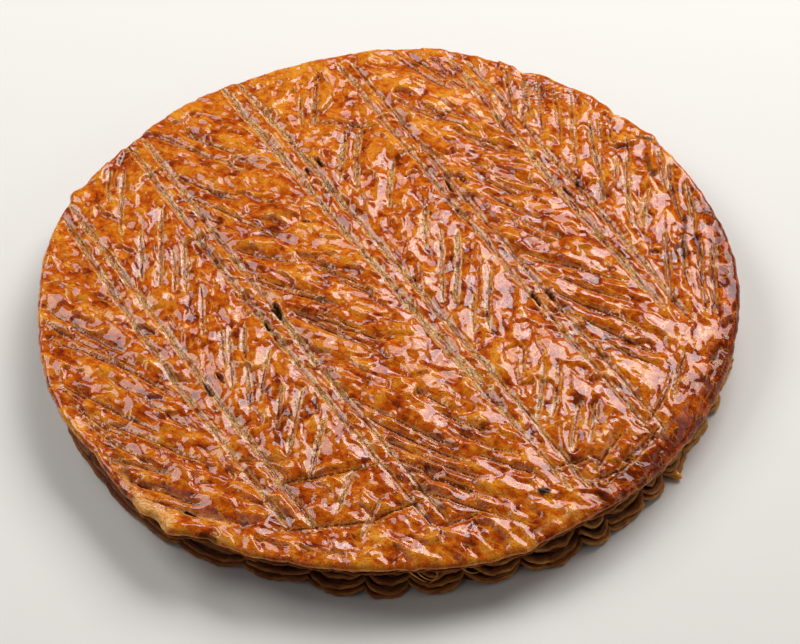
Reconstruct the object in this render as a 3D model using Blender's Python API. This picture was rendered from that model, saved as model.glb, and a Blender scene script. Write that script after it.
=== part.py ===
# A whole galette des rois: a filled puff-pastry cake, uncut, so it is one solid.
# A glazed lid lies over a side that is crimped into lobes, and the lid is scored with
# pairs of long cuts (stems) and with rows of short cuts (barbs) that lean off them.
# Metres, +Z up. The cake stands on z = 0, and its box is centred on the origin.
import math
import random

import bpy
from mathutils import Vector
from mathutils.geometry import delaunay_2d_cdt

MM = 0.001

# Lid. Everything below is in millimetres until the mesh is made.
LID_RADIUS = 139.6
LID_EDGE_Z = 18.0            # height of the lid's widest line
LID_SHOULDER_Z = 21.0        # height where the rounded edge meets the top
LID_SHOULDER_WIDTH = 9.0
LID_CENTRE_Z = 26.0
# Unevenness of the outline: waves round the rim, share of the radius, angle of a crest.
OUTLINE_WAVES = [(2, 0.0041, -2), (3, 0.0030, -17), (4, 0.0063, -18), (5, 0.0042, 8),
                 (8, 0.0023, -8), (9, 0.0025, -1), (10, 0.0025, 14)]
# Where the rim sags: angle and spread in degrees, how far down.
SAGS = [(325, 20, 6.5)]
SAG_WIDTH = 16.0             # how far in from the rim the lid starts to bend down

# Side, from the lid's underside down to the base: inset from the lid's outline, height,
# and how much of the lobes' depth shows there.
SIDE_RINGS = [(1.6, 15.8, 0.0), (6.0, 14.0, 0.3), (4.6, 11.0, 0.9), (2.4, 6.6, 1.0),
              (0.6, 2.4, 1.0), (1.6, 0.0, 0.8)]
LOBE_COUNT = 43
LOBE_SEED = 1506
LOBE_DEPTH = 3.8             # how far a notch goes in between two lobes
LOBE_UNEVENNESS = 0.36       # share by which the width of a lobe varies
LOBE_LEAN = 6.0              # sideways run of a notch from base to lid
# Where the foot of the side spreads (above 0) or sits in: angle and spread in degrees, size.
FOOT_SPREADS = [(298, 18, 2.6), (238, 20, -3.0), (212, 18, -2.0)]
FOOT_TOP_Z = 9.0
LOBE_STEPS = 6               # mesh steps across one lobe

# Stems: back and front end of the left and right cut of each pair, the bow of the pair
# towards -X, and the width of the two cuts.
STEMS = {
    "a": dict(left=((-130, 48.5), (-40, -118)), right=((-128, 55.8), (-30, -120)),
              bows=(3.4, 1.2), widths=(2.0, 2.2)),
    "b": dict(left=((-104, 88.5), (12.5, -121)), right=((-99, 94), (18, -119)),
              bows=(3.3, 3.2), widths=(2.0, 2.0)),
    "c": dict(left=((-65.6, 122), (65, -109)), right=((-58, 124), (72, -108)),
              bows=(2.0, 1.4), widths=(3.2, 2.2)),
    "d": dict(left=((-15, 133), (98, -84)), right=((-8, 132), (104, -84)),
              bows=(3.0, 2.6), widths=(2.0, 1.8)),
    "e": dict(left=((34, 131), (110, -24)), right=((41, 129), (120, -30)),
              bows=(1.6, 0.2), widths=(2.4, 2.0)),
}
STEM_DEPTH = 1.3
STEM_STEP = 12.0             # mesh step along a stem's cut
STEM_TIP = 0.06              # share of its length over which a cut narrows to a tip

# Single strokes that stand out: start, end and width.
STROKES = [
    ((-112, 75), (-112, 55), 1.3), ((-106, 75), (-106, 35), 1.5), ((-98, 37), (-97, 9), 1.5),
    ((-90, 49), (-90, 5), 1.7), ((-85, 24), (-84, 1), 1.4), ((-80, 29), (-79, 0), 1.5),
    ((-73, 3), (-72, -24), 1.3), ((-65, -22), (-63, -41), 1.5), ((-62, -21), (-61, -51), 1.4),
    ((-56, -20), (-55, -39), 1.4), ((-55, -41), (-54, -63), 1.5), ((-46, -33), (-50, -60), 1.6),
    ((-41, -52), (-44, -72), 1.2), ((-34, -54), (-40, -85), 1.6), ((-25, -68), (-32, -97), 2.0),
    ((-15, -94), (-22, -113), 1.7), ((-6, -108), (-14, -125), 1.6),
    # between the middle stems
    ((-31, 112), (-31, 91), 1.2), ((-24, 122), (-25, 90), 2.4), ((-13, 85), (-16, 58), 2.6),
    ((-6, 91), (-9, 50), 1.8), ((7, 68), (4, 40), 1.7), ((19, 40), (18, 16), 2.3),
    ((24, 25), (23, -13), 1.3), ((31, 25), (28, -17), 2.3), ((36, -10), (34, -30), 1.5),
    ((43, 3), (40, -31), 1.5), ((53, -40), (51, -55), 1.3), ((60, -49), (55, -76), 1.5),
    ((66, -50), (61, -76), 1.6), ((72, -69), (67, -91), 1.4), ((78, -70), (74, -87), 1.4),
    ((87, -83), (75, -101), 1.9),
    # on the right
    ((66, 113), (66, 91), 1.4), ((83, 65), (82, 58), 1.4), ((92, 65), (92, 37), 1.5),
    ((99, 63), (98, 49), 1.4), ((104, 65), (102, 22), 1.7), ((111, 43), (107, 22), 1.5),
    # slanting strokes that stand out
    ((-60, 22), (-35, 12), 1.3), ((-52, 6), (-25, -7), 1.4), ((-32, -19), (-4, -38), 1.6),
    ((-26, -16), (-9, -26), 1.2), ((-33, -41), (-21, -46), 1.3), ((-110, -32), (-84, -53), 1.5),
    ((-110, -40), (-78, -69), 1.6), ((-110, -62), (-70, -87), 1.8),
    ((-110, -80), (-84, -90), 2.6), ((10, 105), (28, 90), 1.3), ((29, 97), (38, 92), 1.2),
    ((37, 80), (56, 68), 1.4), ((48, 52), (64, 43), 1.3), ((59, 52), (70, 46), 1.2),
    ((-92, 94), (-55, 68), 1.8), ((-82, 96), (-52, 72), 1.4),
]

# Rows of barbs: start of the first and of the last, how many, shortest and longest,
# heading of the first and of the last in degrees, width.
BARB_ROWS = [
    ((-86, 70), (-79, 56), 2, (34, 46), (-34, -36), 1.5),
    ((-48, 2), (-40, -12), 2, (28, 44), (-26, -29), 1.4),
    ((-35, 15), (-18, 2), 3, (12, 22), (-28, -30), 1.2),
    ((-14, -62), (8, -106), 6, (34, 52), (-34, -26), 1.5),
    ((10, -58), (32, -91), 4, (16, 26), (-38, -27), 1.4),
    ((10, 136), (17, 134), 2, (26, 36), (-46, -46), 1.6),
    ((20, 99), (34, 82), 2, (24, 34), (-40, -30), 1.4),
    ((37, 66), (50, 34), 4, (16, 30), (-38, -35), 1.4),
    ((58, 10), (71, -21), 4, (34, 43), (-25, -36), 1.5),
    ((79, -19), (86, -40), 2, (18, 24), (-33, -36), 1.4),
    ((-137, 1), (-136, -17), 3, (42, 50), (-40, -31), 1.6),
    ((-129, -40), (-117, -60), 3, (30, 50), (-38, -42), 1.5),
    ((-107, -88), (-101, -97), 2, (34, 46), (-28, -25), 2.2),
    ((58, 125), (78, 111), 4, (18, 40), (-90, -91), 1.5),
    ((84, 105), (91, 84), 2, (36, 44), (-93, -88), 1.6),
    ((96, 89), (105, 78), 3, (14, 20), (-88, -92), 1.4),
    ((117, 66), (126, 48), 3, (22, 36), (-88, -92), 1.9),
    ((115, 18), (135, 14), 4, (26, 40), (-91, -97), 1.7),
    ((115, -46), (105, -66), 3, (18, 23), (-110, -124), 1.6),
    ((103, -80), (92, -93), 3, (16, 22), (-128, -138), 1.7),
    ((-46, -98), (-48, -118), 2, (38, 42), (9, 1), 1.4),
    ((-10, -118), (13, -124), 2, (16, 34), (22, 24), 1.3),
    ((58, -98), (71, -105), 2, (12, 28), (20, 24), 1.3),
    ((-23, 95), (-64, -88), 2, (14, 26), (-11, -2), 1.1),
]
BARB_DEPTH = 1.0
BARB_TIP = 0.3
BARB_STEPS = 3
BARB_START_STRAY = (0.9, 1.6)    # how far a start strays from its row, in X and in Y
BARB_HEADING_STRAY = 2.0         # degrees
RIM_MARGIN = 7.0                 # no cut comes closer to the rim than this

TOP_POINT_SPACING = 10.0     # mesh points on the plain parts of the lid
CUT_CLEARANCE = 4.0          # and how far they keep from a cut
RIM_CLEARANCE = 3.5          # and from the rim
RIM_ROW_INSET = 2.2          # a row of points that rounds the lid's edge
MERGE_DISTANCE = 0.02        # points of crossing cuts that lie closer become one
SEED = 6

CRUST_COLOUR = (0.47, 0.13, 0.022, 1.0)
CRUST_ROUGHNESS = 0.3


def clear_scene():
    for found in list(bpy.data.objects):
        bpy.data.objects.remove(found, do_unlink=True)


def mix(a, b, share):
    return a + (b - a) * share


def nearness(angle, middle, spread):
    # 1 at the middle angle, falling off to both sides; middle and spread are in degrees.
    away = (math.degrees(angle) - middle + 180) % 360 - 180
    return math.exp(-(away / spread) ** 2)


def sag(angle):
    return sum(down * nearness(angle, middle, spread) for middle, spread, down in SAGS)


def outline_radius(angle):
    waves = sum(size * math.cos(count * (angle - math.radians(crest)))
                for count, size, crest in OUTLINE_WAVES)
    return LID_RADIUS * (1 + waves)


def room_to_rim(point):
    return outline_radius(math.atan2(point.y, point.x)) - point.length


def lid_height(point):
    # A low dome that turns down in a rounded shoulder along the rim, and sags in places.
    room = max(room_to_rim(point), 0.0)
    out = min(point.length / (LID_RADIUS - LID_SHOULDER_WIDTH), 1.0)
    height = mix(LID_CENTRE_Z, LID_SHOULDER_Z, out ** 3)
    if room < LID_SHOULDER_WIDTH:
        turn = 1 - room / LID_SHOULDER_WIDTH
        height = LID_EDGE_Z + (height - LID_EDGE_Z) * math.sqrt(max(1 - turn ** 3, 0.0))
    if room < SAG_WIDTH:
        height -= sag(math.atan2(point.y, point.x)) * (1 - room / SAG_WIDTH) ** 2
    return height


class Cut:
    # A scored line: a lens-shaped groove, widest and deepest in its middle stretch.
    def __init__(self, start, end, bow, width, depth, steps, full):
        self.start, self.end = Vector(start), Vector(end)
        self.bow, self.width, self.depth = bow, width, depth
        self.steps, self.full = steps, full
        self.along = (self.end - self.start).normalized()
        self.across = Vector((-self.along.y, self.along.x))
        self.length = (self.end - self.start).length

    def centre(self, share):
        bulge = 4 * share * (1 - share) * self.bow
        return self.start.lerp(self.end, share) - self.across * bulge

    def fullness(self, share):
        # 0 at the two tips, 1 along the stretch between them.
        return min(1.0, min(share, 1 - share) / self.full)

    def depth_at(self, point):
        offset = point - self.start
        share = offset.dot(self.along) / self.length
        if not 0 < share < 1:
            return 0.0
        half = self.width / 2 * self.fullness(share)
        aside = abs((point - self.centre(share)).dot(self.across))
        return self.depth * self.fullness(share) * max(0.0, 1 - aside / half)

    def distance(self, point):
        share = (point - self.start).dot(self.along) / self.length
        return (point - self.centre(min(max(share, 0.0), 1.0))).length

    def rows(self):
        # The groove's left edge, bottom and right edge, with shared tips.
        sides = []
        for offset in (-0.5, 0.0, 0.5):
            row = [self.centre(0)]
            for step in range(1, self.steps):
                share = step / self.steps
                half = self.width * self.fullness(share)
                row.append(self.centre(share) + self.across * half * offset)
            row.append(self.centre(1))
            sides.append(row)
        return sides


def stem_cut(stem, cut):
    start, end = STEMS[stem][cut]
    which = 0 if cut == "left" else 1
    bow, width = STEMS[stem]["bows"][which], STEMS[stem]["widths"][which]
    length = (Vector(end) - Vector(start)).length
    return Cut(start, end, bow, width, STEM_DEPTH, round(length / STEM_STEP), STEM_TIP)


def barb(start, direction, length, width):
    # A barb slides along its heading until it starts inside the rim's margin, and is
    # shortened until it ends there too.
    while room_to_rim(start) < RIM_MARGIN:
        start = start + direction
        length -= 1
    while room_to_rim(start + direction * length) < RIM_MARGIN:
        length -= 1
    return Cut(start, start + direction * length, 0.0, width, BARB_DEPTH, BARB_STEPS, BARB_TIP)


def row_barbs(row, draw):
    first, last, count, lengths, headings, width = row
    cuts = []
    for index in range(count):
        share = index / (count - 1)
        start = Vector([mix(a, b, share) + draw.uniform(-stray, stray)
                        for a, b, stray in zip(first, last, BARB_START_STRAY)])
        turned = draw.uniform(-1, 1) * BARB_HEADING_STRAY
        heading = math.radians(mix(*headings, share) + turned)
        direction = Vector((math.cos(heading), math.sin(heading)))
        cuts.append(barb(start, direction, draw.uniform(*lengths), width))
    return cuts


def scored_cuts():
    draw = random.Random(SEED)
    cuts = [stem_cut(stem, cut) for stem in STEMS for cut in ("left", "right")]
    for start, end, width in STROKES:
        run = Vector(end) - Vector(start)
        cuts.append(barb(Vector(start), run.normalized(), run.length, width))
    for row in BARB_ROWS:
        cuts.extend(row_barbs(row, draw))
    return cuts


def lobe_steps():
    # Angles round the side, LOBE_STEPS to a lobe, with how far in each one lies (0 on a
    # lobe's belly, 1 in a notch). The lobes differ in width.
    draw = random.Random(LOBE_SEED)
    widths = [1 + draw.uniform(-1, 1) * LOBE_UNEVENNESS for _ in range(LOBE_COUNT)]
    turn = math.tau / sum(widths)
    angle = 0.0
    steps = []
    for width in widths:
        for step in range(LOBE_STEPS):
            across = step / LOBE_STEPS
            steps.append((angle + turn * width * across, 1 - math.sin(math.pi * across) ** 0.5))
        angle += turn * width
    return steps


def foot_spread(angle, height):
    # How far the foot of the side stands out beyond its usual inset.
    share = max(0.0, 1 - height / FOOT_TOP_Z)
    return share * sum(size * nearness(angle, middle, spread)
                       for middle, spread, size in FOOT_SPREADS)


def side_ring(steps, inset, height, lobes):
    lean = LOBE_LEAN / LID_RADIUS * (height / LID_EDGE_Z - 1)
    ring = []
    for angle, notch in steps:
        turned = angle + lean
        radius = outline_radius(turned) - inset - LOBE_DEPTH * lobes * notch
        radius += foot_spread(turned, height)
        sunk = height * (1 - sag(turned) / LID_EDGE_Z)
        ring.append((math.cos(turned) * radius, math.sin(turned) * radius, sunk))
    return ring


def lid_points(cuts, rim):
    # Rim, cuts and a staggered grid of plain points, with the edges that the top keeps.
    points = [Vector(place[:2]) for place in rim]
    edges = [(index, (index + 1) % len(rim)) for index in range(len(rim))]
    for cut in cuts:
        for row in cut.rows():
            first = len(points)
            points.extend(row)
            edges.extend((first + step, first + step + 1) for step in range(len(row) - 1))
    row_height = TOP_POINT_SPACING * math.sqrt(3) / 2
    reach = math.ceil(LID_RADIUS / row_height)
    for row in range(-reach, reach + 1):
        for column in range(-reach, reach + 1):
            place = Vector(((column + row % 2 / 2) * TOP_POINT_SPACING, row * row_height))
            clear = all(cut.distance(place) > CUT_CLEARANCE for cut in cuts)
            if clear and room_to_rim(place) > RIM_CLEARANCE:
                points.append(place)
    for index, (angle, _) in enumerate(lobe_steps()):
        if index % 2 == 0:
            radius = outline_radius(angle) - RIM_ROW_INSET
            points.append(Vector((math.cos(angle), math.sin(angle))) * radius)
    return points, edges


def build_galette(material):
    cuts = scored_cuts()
    steps = lobe_steps()
    rim = side_ring(steps, 0.0, LID_EDGE_Z, 0.0)
    points, edges = lid_points(cuts, rim)
    inside_only = 1
    flat, _, triangles, *_ = delaunay_2d_cdt(points, edges, [], inside_only,
                                                MERGE_DISTANCE)

    vertices = list(rim)
    place_of = {}
    for index, point in enumerate(flat):
        if index < len(rim):
            place_of[index] = index
            continue
        depth = max(cut.depth_at(point) for cut in cuts)
        place_of[index] = len(vertices)
        vertices.append((point.x, point.y, lid_height(point) - depth))
    faces = [[place_of[corner] for corner in triangle] for triangle in triangles]

    upper = list(range(len(rim)))
    for inset, height, lobes in SIDE_RINGS:
        lower = [len(vertices) + step for step in range(len(rim))]
        vertices.extend(side_ring(steps, inset, height, lobes))
        for step in range(len(rim)):
            after = (step + 1) % len(rim)
            faces.append([upper[step], lower[step], lower[after]])
            faces.append([upper[step], lower[after], upper[after]])
        upper = lower
    centre = len(vertices)
    vertices.append((0.0, 0.0, 0.0))
    faces.extend([upper[(step + 1) % len(rim)], upper[step], centre] for step in range(len(rim)))

    middle = [(min(v[axis] for v in vertices) + max(v[axis] for v in vertices)) / 2
              for axis in (0, 1)]
    placed = [((x - middle[0]) * MM, (y - middle[1]) * MM, z * MM) for x, y, z in vertices]
    mesh = bpy.data.meshes.new("galette")
    mesh.from_pydata(placed, [], faces)
    mesh.validate()
    mesh.shade_smooth()
    mesh.set_sharp_from_angle(angle=math.radians(50))
    mesh.materials.append(material)
    galette = bpy.data.objects.new("galette", mesh)
    bpy.context.collection.objects.link(galette)
    return galette


def crust_material():
    material = bpy.data.materials.new("glazed_crust")
    material.use_nodes = True
    shader = material.node_tree.nodes["Principled BSDF"]
    shader.inputs["Base Color"].default_value = CRUST_COLOUR
    shader.inputs["Roughness"].default_value = CRUST_ROUGHNESS
    shader.inputs["Metallic"].default_value = 0.0
    return material


clear_scene()
build_galette(crust_material())
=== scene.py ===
# Galette des rois: the glazed, scored lid, the crimped and layered side, and what hangs off them.
# Shapes are worked out in millimetres on the cake's plan (+X right, +Y back, +Z up) and turned
# into the frame's metres when a mesh is made.
import math
import random

import bpy
import numpy as np
from mathutils import Matrix, Vector


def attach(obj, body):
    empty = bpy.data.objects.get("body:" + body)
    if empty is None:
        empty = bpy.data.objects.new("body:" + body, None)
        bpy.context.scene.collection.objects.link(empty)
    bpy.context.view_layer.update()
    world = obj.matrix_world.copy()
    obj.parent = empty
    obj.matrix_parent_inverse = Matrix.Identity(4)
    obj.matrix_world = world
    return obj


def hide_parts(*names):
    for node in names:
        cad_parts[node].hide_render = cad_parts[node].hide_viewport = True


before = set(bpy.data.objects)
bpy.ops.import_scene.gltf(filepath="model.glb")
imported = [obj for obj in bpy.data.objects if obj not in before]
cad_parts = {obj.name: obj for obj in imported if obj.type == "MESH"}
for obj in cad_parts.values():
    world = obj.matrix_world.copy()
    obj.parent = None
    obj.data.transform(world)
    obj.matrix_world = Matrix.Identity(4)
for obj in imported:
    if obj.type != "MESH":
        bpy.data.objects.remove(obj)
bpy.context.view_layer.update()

mm = 0.001

# ---- plan of the cake, the same as the solid's ----
plan = {
    "radius": 139.6,
    # unevenness of the outline: waves round the rim, share of the radius, angle of a crest
    "waves": [(2, 0.0041, -2), (3, 0.0030, -17), (4, 0.0063, -18), (5, 0.0042, 8),
              (8, 0.0023, -8), (9, 0.0025, -1), (10, 0.0025, 14)],
    # where the rim sags: angle, spread in degrees, how far down; and how far in it starts
    "sags": [(325, 20, 6.5)], "sagWidth": 16.0,
}


def bulges(turn, places):
    # sum of the swellings round the cake; each has its angle, spread in degrees and size
    total = 0 * turn
    for angle, spread, size in places:
        away = np.degrees(np.mod(turn - math.radians(angle) + math.pi, math.tau) - math.pi)
        total = total + size * np.exp(-(away / spread) ** 2)
    return total


def outlineRadius(angle):
    waves = sum(size * np.cos(count * (angle - math.radians(crest)))
                for count, size, crest in plan["waves"])
    return plan["radius"] * (1 + waves)


def planMiddle():
    # the solid's box is centred on the origin, so the plan moves by the middle of its box
    turn = np.linspace(0, math.tau, 2000)
    x, y = outlineRadius(turn) * np.cos(turn), outlineRadius(turn) * np.sin(turn)
    return np.array([(x.min() + x.max()) / 2, (y.min() + y.max()) / 2, 0.0])


middle = planMiddle()


def inFrame(x, y, z):
    return Vector((np.array([x, y, z]) - middle) * mm)


# ---- camera, lights and floor ----
view = {"target": (5.4, -18.1, 19.0), "elevation": 48.38, "roll": -3.61,
        "distance": 1.0, "lens": 113.5}
studio = {
    # softboxes: compass turn from straight behind, elevation, distance, size, power
    "boxes": {"rightBackBox": (40, 45, 1.5, (0.9, 0.8), 16.5),
              "backBox": (8, 46, 1.5, (0.44, 0.50), 3.1),
              "leftBackBox": (-58, 45, 1.5, (0.85, 0.75), 9.3),
              "rightBox": (96, 28, 1.6, (1.2, 0.6), 2.5),
              "leftFill": (-125, 50, 1.7, (1.2, 1.0), 1.9)},
    "lightColour": (0.97, 0.97, 1.0), "skyStrength": 0.05, "floorColour": (0.89, 0.855, 0.785, 1),
}


def placeCamera():
    lift, roll = math.radians(view["elevation"]), math.radians(view["roll"])
    back = Vector((0, -math.cos(lift), math.sin(lift)))
    level, up = Vector((1, 0, 0)), Vector((0, math.sin(lift), math.cos(lift)))
    right = level * math.cos(roll) + up * math.sin(roll)
    top = up * math.cos(roll) - level * math.sin(roll)
    camera = bpy.data.objects.new("camera", bpy.data.cameras.new("camera"))
    camera.data.lens = view["lens"]
    place = inFrame(*view["target"]) + back * view["distance"]
    turned = Matrix((right, top, back)).transposed().to_4x4()
    camera.matrix_world = Matrix.Translation(place) @ turned
    bpy.context.scene.collection.objects.link(camera)
    bpy.context.scene.camera = camera


def softLight(name, azimuth, elevation, away, size, power):
    # an oblong softbox that faces the cake; azimuth 0 is straight behind it
    turn, lift = math.radians(azimuth), math.radians(elevation)
    towards = Vector((math.sin(turn) * math.cos(lift), math.cos(turn) * math.cos(lift),
                      math.sin(lift)))
    lamp = bpy.data.objects.new(name, bpy.data.lights.new(name, "AREA"))
    lamp.data.shape = "RECTANGLE"
    lamp.data.size, lamp.data.size_y = size
    lamp.data.energy = power
    lamp.data.color = studio["lightColour"]
    lamp.location = towards * away
    lamp.rotation_euler = towards.to_track_quat("Z", "Y").to_euler()
    bpy.context.scene.collection.objects.link(lamp)
    return lamp


def lightStudio():
    for name, placing in studio["boxes"].items():
        softLight(name, *placing)
    sky = bpy.data.worlds.new("sky")
    sky.use_nodes = True
    sky.node_tree.nodes["Background"].inputs["Color"].default_value = (0.96, 0.98, 1.0, 1)
    sky.node_tree.nodes["Background"].inputs["Strength"].default_value = studio["skyStrength"]
    bpy.context.scene.world = sky
    bpy.context.scene.view_settings.view_transform = "Standard"


def layFloor():
    mesh = bpy.data.meshes.new("floor")
    mesh.from_pydata([(-3, -3, 0), (3, -3, 0), (3, 3, 0), (-3, 3, 0)], [], [(0, 1, 2, 3)])
    floor = bpy.data.objects.new("floor", mesh)
    bpy.context.scene.collection.objects.link(floor)
    material = bpy.data.materials.new("floorPaper")
    material.use_nodes = True
    shader = material.node_tree.nodes["Principled BSDF"]
    shader.inputs["Base Color"].default_value = studio["floorColour"]
    shader.inputs["Roughness"].default_value = 0.9
    mesh.materials.append(material)


placeCamera()
lightStudio()
layFloor()
print("camera, lights and floor placed")


# ---- noise and crumple, worked out for whole arrays of points ----
def lumps(x, y, size, seed):
    # smooth gradient noise, about -1 to 1, with lumps of the given size
    count = 256
    turns = np.random.default_rng(seed).random((count, count)) * math.tau
    u, v = x / size + count * 4, y / size + count * 4
    i, j = np.floor(u).astype(int), np.floor(v).astype(int)
    fu, fv = u - i, v - j
    ease = [f ** 3 * (f * (f * 6 - 15) + 10) for f in (fu, fv)]
    total = 0.0
    for di in (0, 1):
        for dj in (0, 1):
            turn = turns[(i + di) % count, (j + dj) % count]
            slope = np.cos(turn) * (fu - di) + np.sin(turn) * (fv - dj)
            weight = (ease[0] if di else 1 - ease[0]) * (ease[1] if dj else 1 - ease[1])
            total = total + weight * slope
    return total * 1.5


def scales(x, y, size, tilt, sharp, seed):
    # a crumpled skin: small flat scales, each tilted its own way, that meet in creases
    count = 128
    draw = np.random.default_rng(seed)
    offsetX, offsetY = draw.random((2, count, count))
    slopeX, slopeY = draw.normal(0, tilt, (2, count, count))
    level = draw.normal(0, tilt * 0.6, (count, count))
    u, v = x / size + count * 4, y / size + count * 4
    i, j = np.floor(u).astype(int), np.floor(v).astype(int)
    total, weights = 0.0, 0.0
    for di in (-1, 0, 1):
        for dj in (-1, 0, 1):
            ci, cj = (i + di) % count, (j + dj) % count
            du, dv = u - (i + di + offsetX[ci, cj]), v - (j + dj + offsetY[ci, cj])
            weight = np.exp(-sharp * (du ** 2 + dv ** 2))
            total = total + weight * (level[ci, cj] + slopeX[ci, cj] * du + slopeY[ci, cj] * dv)
            weights = weights + weight
    return total / weights * size


def folds(x, y, size, seed):
    # rounded blisters that meet in sharp creases, 0 in a crease
    bendX, bendY = lumps(x, y, size * 2.2, seed + 100), lumps(x, y, size * 2.2, seed + 101)
    return np.abs(lumps(x + bendX * size * 0.5, y + bendY * size * 0.5, size, seed)) ** 0.8


def smooth(low, high, value):
    share = np.clip((value - low) / (high - low), 0, 1)
    return share * share * (3 - 2 * share)


# ---- the scored pattern ----
# stems: back and front end of each cut, its bow towards -X, its width and how open it is
stems = [
    ((-130, 48.5), (-40, -118), 3.4, 1.8, 0.8), ((-128, 55.8), (-30, -120), 1.2, 2.0, 0.9),
    ((-105.5, 91), (12.5, -121), 3.3, 1.8, 0.8), ((-99, 94), (18, -119), 3.2, 1.8, 0.8),
    ((-65.6, 122), (65, -109), 2.0, 2.1, 1.0), ((-58, 124), (72, -108), 1.4, 1.8, 0.9),
    ((-15, 133), (98, -84), 3.0, 1.6, 0.7), ((-8, 132), (104, -84), 2.6, 1.4, 0.6),
    ((34, 131), (110, -24), 1.6, 2.2, 0.9), ((41, 129), (120, -30), 0.2, 1.6, 0.7),
]
# single strokes: start, end, width and how open each is
strokes = [
    ((-112, 75), (-112, 55), 1.3, 0.7), ((-106, 75), (-106, 35), 1.5, 0.8),
    ((-98, 37), (-97, 9), 1.5, 0.8), ((-90, 49), (-90, 5), 1.7, 0.8),
    ((-85, 24), (-84, 1), 1.4, 0.6), ((-80, 29), (-79, 0), 1.5, 0.8),
    ((-73, 3), (-72, -24), 1.3, 0.6), ((-65, -22), (-63, -41), 1.5, 0.8),
    ((-62, -21), (-61, -51), 1.4, 0.8), ((-56, -20), (-55, -39), 1.4, 0.7),
    ((-55, -41), (-54, -63), 1.5, 0.8), ((-46, -33), (-50, -60), 1.6, 0.8),
    ((-41, -52), (-44, -72), 1.2, 0.6), ((-34, -54), (-40, -85), 1.6, 0.8),
    ((-25, -68), (-32, -97), 2.0, 0.9), ((-15, -94), (-22, -113), 1.7, 0.9),
    ((-6, -108), (-14, -125), 1.6, 0.8),
    # between the middle stems
    ((-31, 112), (-31, 91), 1.2, 0.6), ((-24, 122), (-25, 90), 2.4, 0.8),
    ((-13, 85), (-16, 58), 2.6, 1.0), ((-6, 91), (-9, 50), 1.8, 0.9),
    ((7, 68), (4, 40), 1.7, 0.8), ((19, 40), (18, 16), 2.3, 0.9),
    ((24, 25), (23, -13), 1.3, 0.7), ((31, 25), (28, -17), 2.3, 1.0),
    ((36, -10), (34, -30), 1.5, 0.8), ((43, 3), (40, -31), 1.5, 0.8),
    ((53, -40), (51, -55), 1.3, 0.6), ((60, -49), (55, -76), 1.5, 0.8),
    ((66, -50), (61, -76), 1.6, 0.8), ((72, -69), (67, -91), 1.4, 0.7),
    ((78, -70), (74, -87), 1.4, 0.7), ((87, -83), (75, -101), 1.9, 0.3),
    # on the right
    ((66, 113), (66, 91), 1.4, 0.6), ((83, 65), (82, 58), 1.4, 0.6),
    ((92, 65), (92, 37), 1.5, 0.7), ((99, 63), (98, 49), 1.4, 0.6),
    ((104, 65), (102, 22), 1.7, 0.8), ((111, 43), (107, 22), 1.5, 0.9),
    # slanting strokes that stand out
    ((-60, 22), (-35, 12), 1.3, 0.2), ((-52, 6), (-25, -7), 1.4, 0.2),
    ((-32, -19), (-4, -38), 1.6, 0.2), ((-26, -16), (-9, -26), 1.2, 0.2),
    ((-33, -41), (-21, -46), 1.3, 0.2), ((-110, -32), (-84, -53), 1.5, 0.3),
    ((-110, -40), (-78, -69), 1.6, 0.3), ((-110, -62), (-70, -87), 1.8, 0.4),
    ((-110, -80), (-84, -90), 2.2, 0.5), ((10, 105), (28, 90), 1.3, 0.2),
    ((29, 97), (38, 92), 1.2, 0.2), ((37, 80), (56, 68), 1.4, 0.2),
    ((48, 52), (64, 43), 1.3, 0.2), ((59, 52), (70, 46), 1.2, 0.2),
    ((-92, 94), (-55, 68), 1.8, 0.6), ((-82, 96), (-52, 72), 1.4, 0.4),
]
# rows of barbs: start of the first and of the last, how many, shortest and longest,
# heading of the first and of the last, width and how open they are
barbRows = [
    ((-86, 70), (-79, 56), 2, (34, 46), (-34, -36), 1.5, 0.3),
    ((-48, 2), (-40, -12), 2, (28, 44), (-26, -29), 1.4, 0.2),
    ((-35, 15), (-18, 2), 3, (12, 22), (-28, -30), 1.2, 0.2),
    ((-14, -62), (8, -106), 6, (34, 52), (-34, -26), 1.5, 0.2),
    ((10, -58), (32, -91), 4, (16, 26), (-38, -27), 1.4, 0.1),
    ((10, 136), (17, 134), 2, (26, 36), (-46, -46), 1.6, 0.2),
    ((20, 99), (34, 82), 2, (24, 34), (-40, -30), 1.4, 0.2),
    ((37, 66), (50, 34), 4, (16, 30), (-38, -35), 1.4, 0.2),
    ((58, 10), (71, -21), 4, (34, 43), (-25, -36), 1.5, 0.3),
    ((79, -19), (86, -40), 2, (18, 24), (-33, -36), 1.4, 0.2),
    ((-137, 1), (-136, -17), 3, (42, 50), (-40, -31), 1.6, 0.3),
    ((-129, -40), (-117, -60), 3, (30, 50), (-38, -42), 1.5, 0.4),
    ((-107, -88), (-101, -97), 2, (34, 46), (-28, -25), 1.8, 0.4),
    ((58, 125), (78, 111), 4, (18, 40), (-90, -91), 1.5, 0.5),
    ((84, 105), (91, 84), 2, (36, 44), (-93, -88), 1.6, 0.6),
    ((96, 89), (105, 78), 3, (14, 20), (-88, -92), 1.4, 0.3),
    ((117, 66), (126, 48), 3, (22, 36), (-88, -92), 1.9, 0.5),
    ((115, 18), (135, 14), 4, (26, 40), (-91, -97), 1.7, 0.6),
    ((115, -46), (105, -66), 3, (18, 23), (-110, -124), 1.6, 0.4),
    ((103, -80), (92, -93), 3, (16, 22), (-128, -138), 1.7, 0.4),
    ((-46, -98), (-48, -118), 2, (38, 42), (9, 1), 1.4, 0.0),
    ((-10, -118), (13, -124), 2, (16, 34), (22, 24), 1.3, 0.0),
    ((58, -98), (71, -105), 2, (12, 28), (20, 24), 1.3, 0.1),
    ((-23, 95), (-64, -88), 2, (14, 26), (-11, -2), 1.1, 0.0),
]
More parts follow.
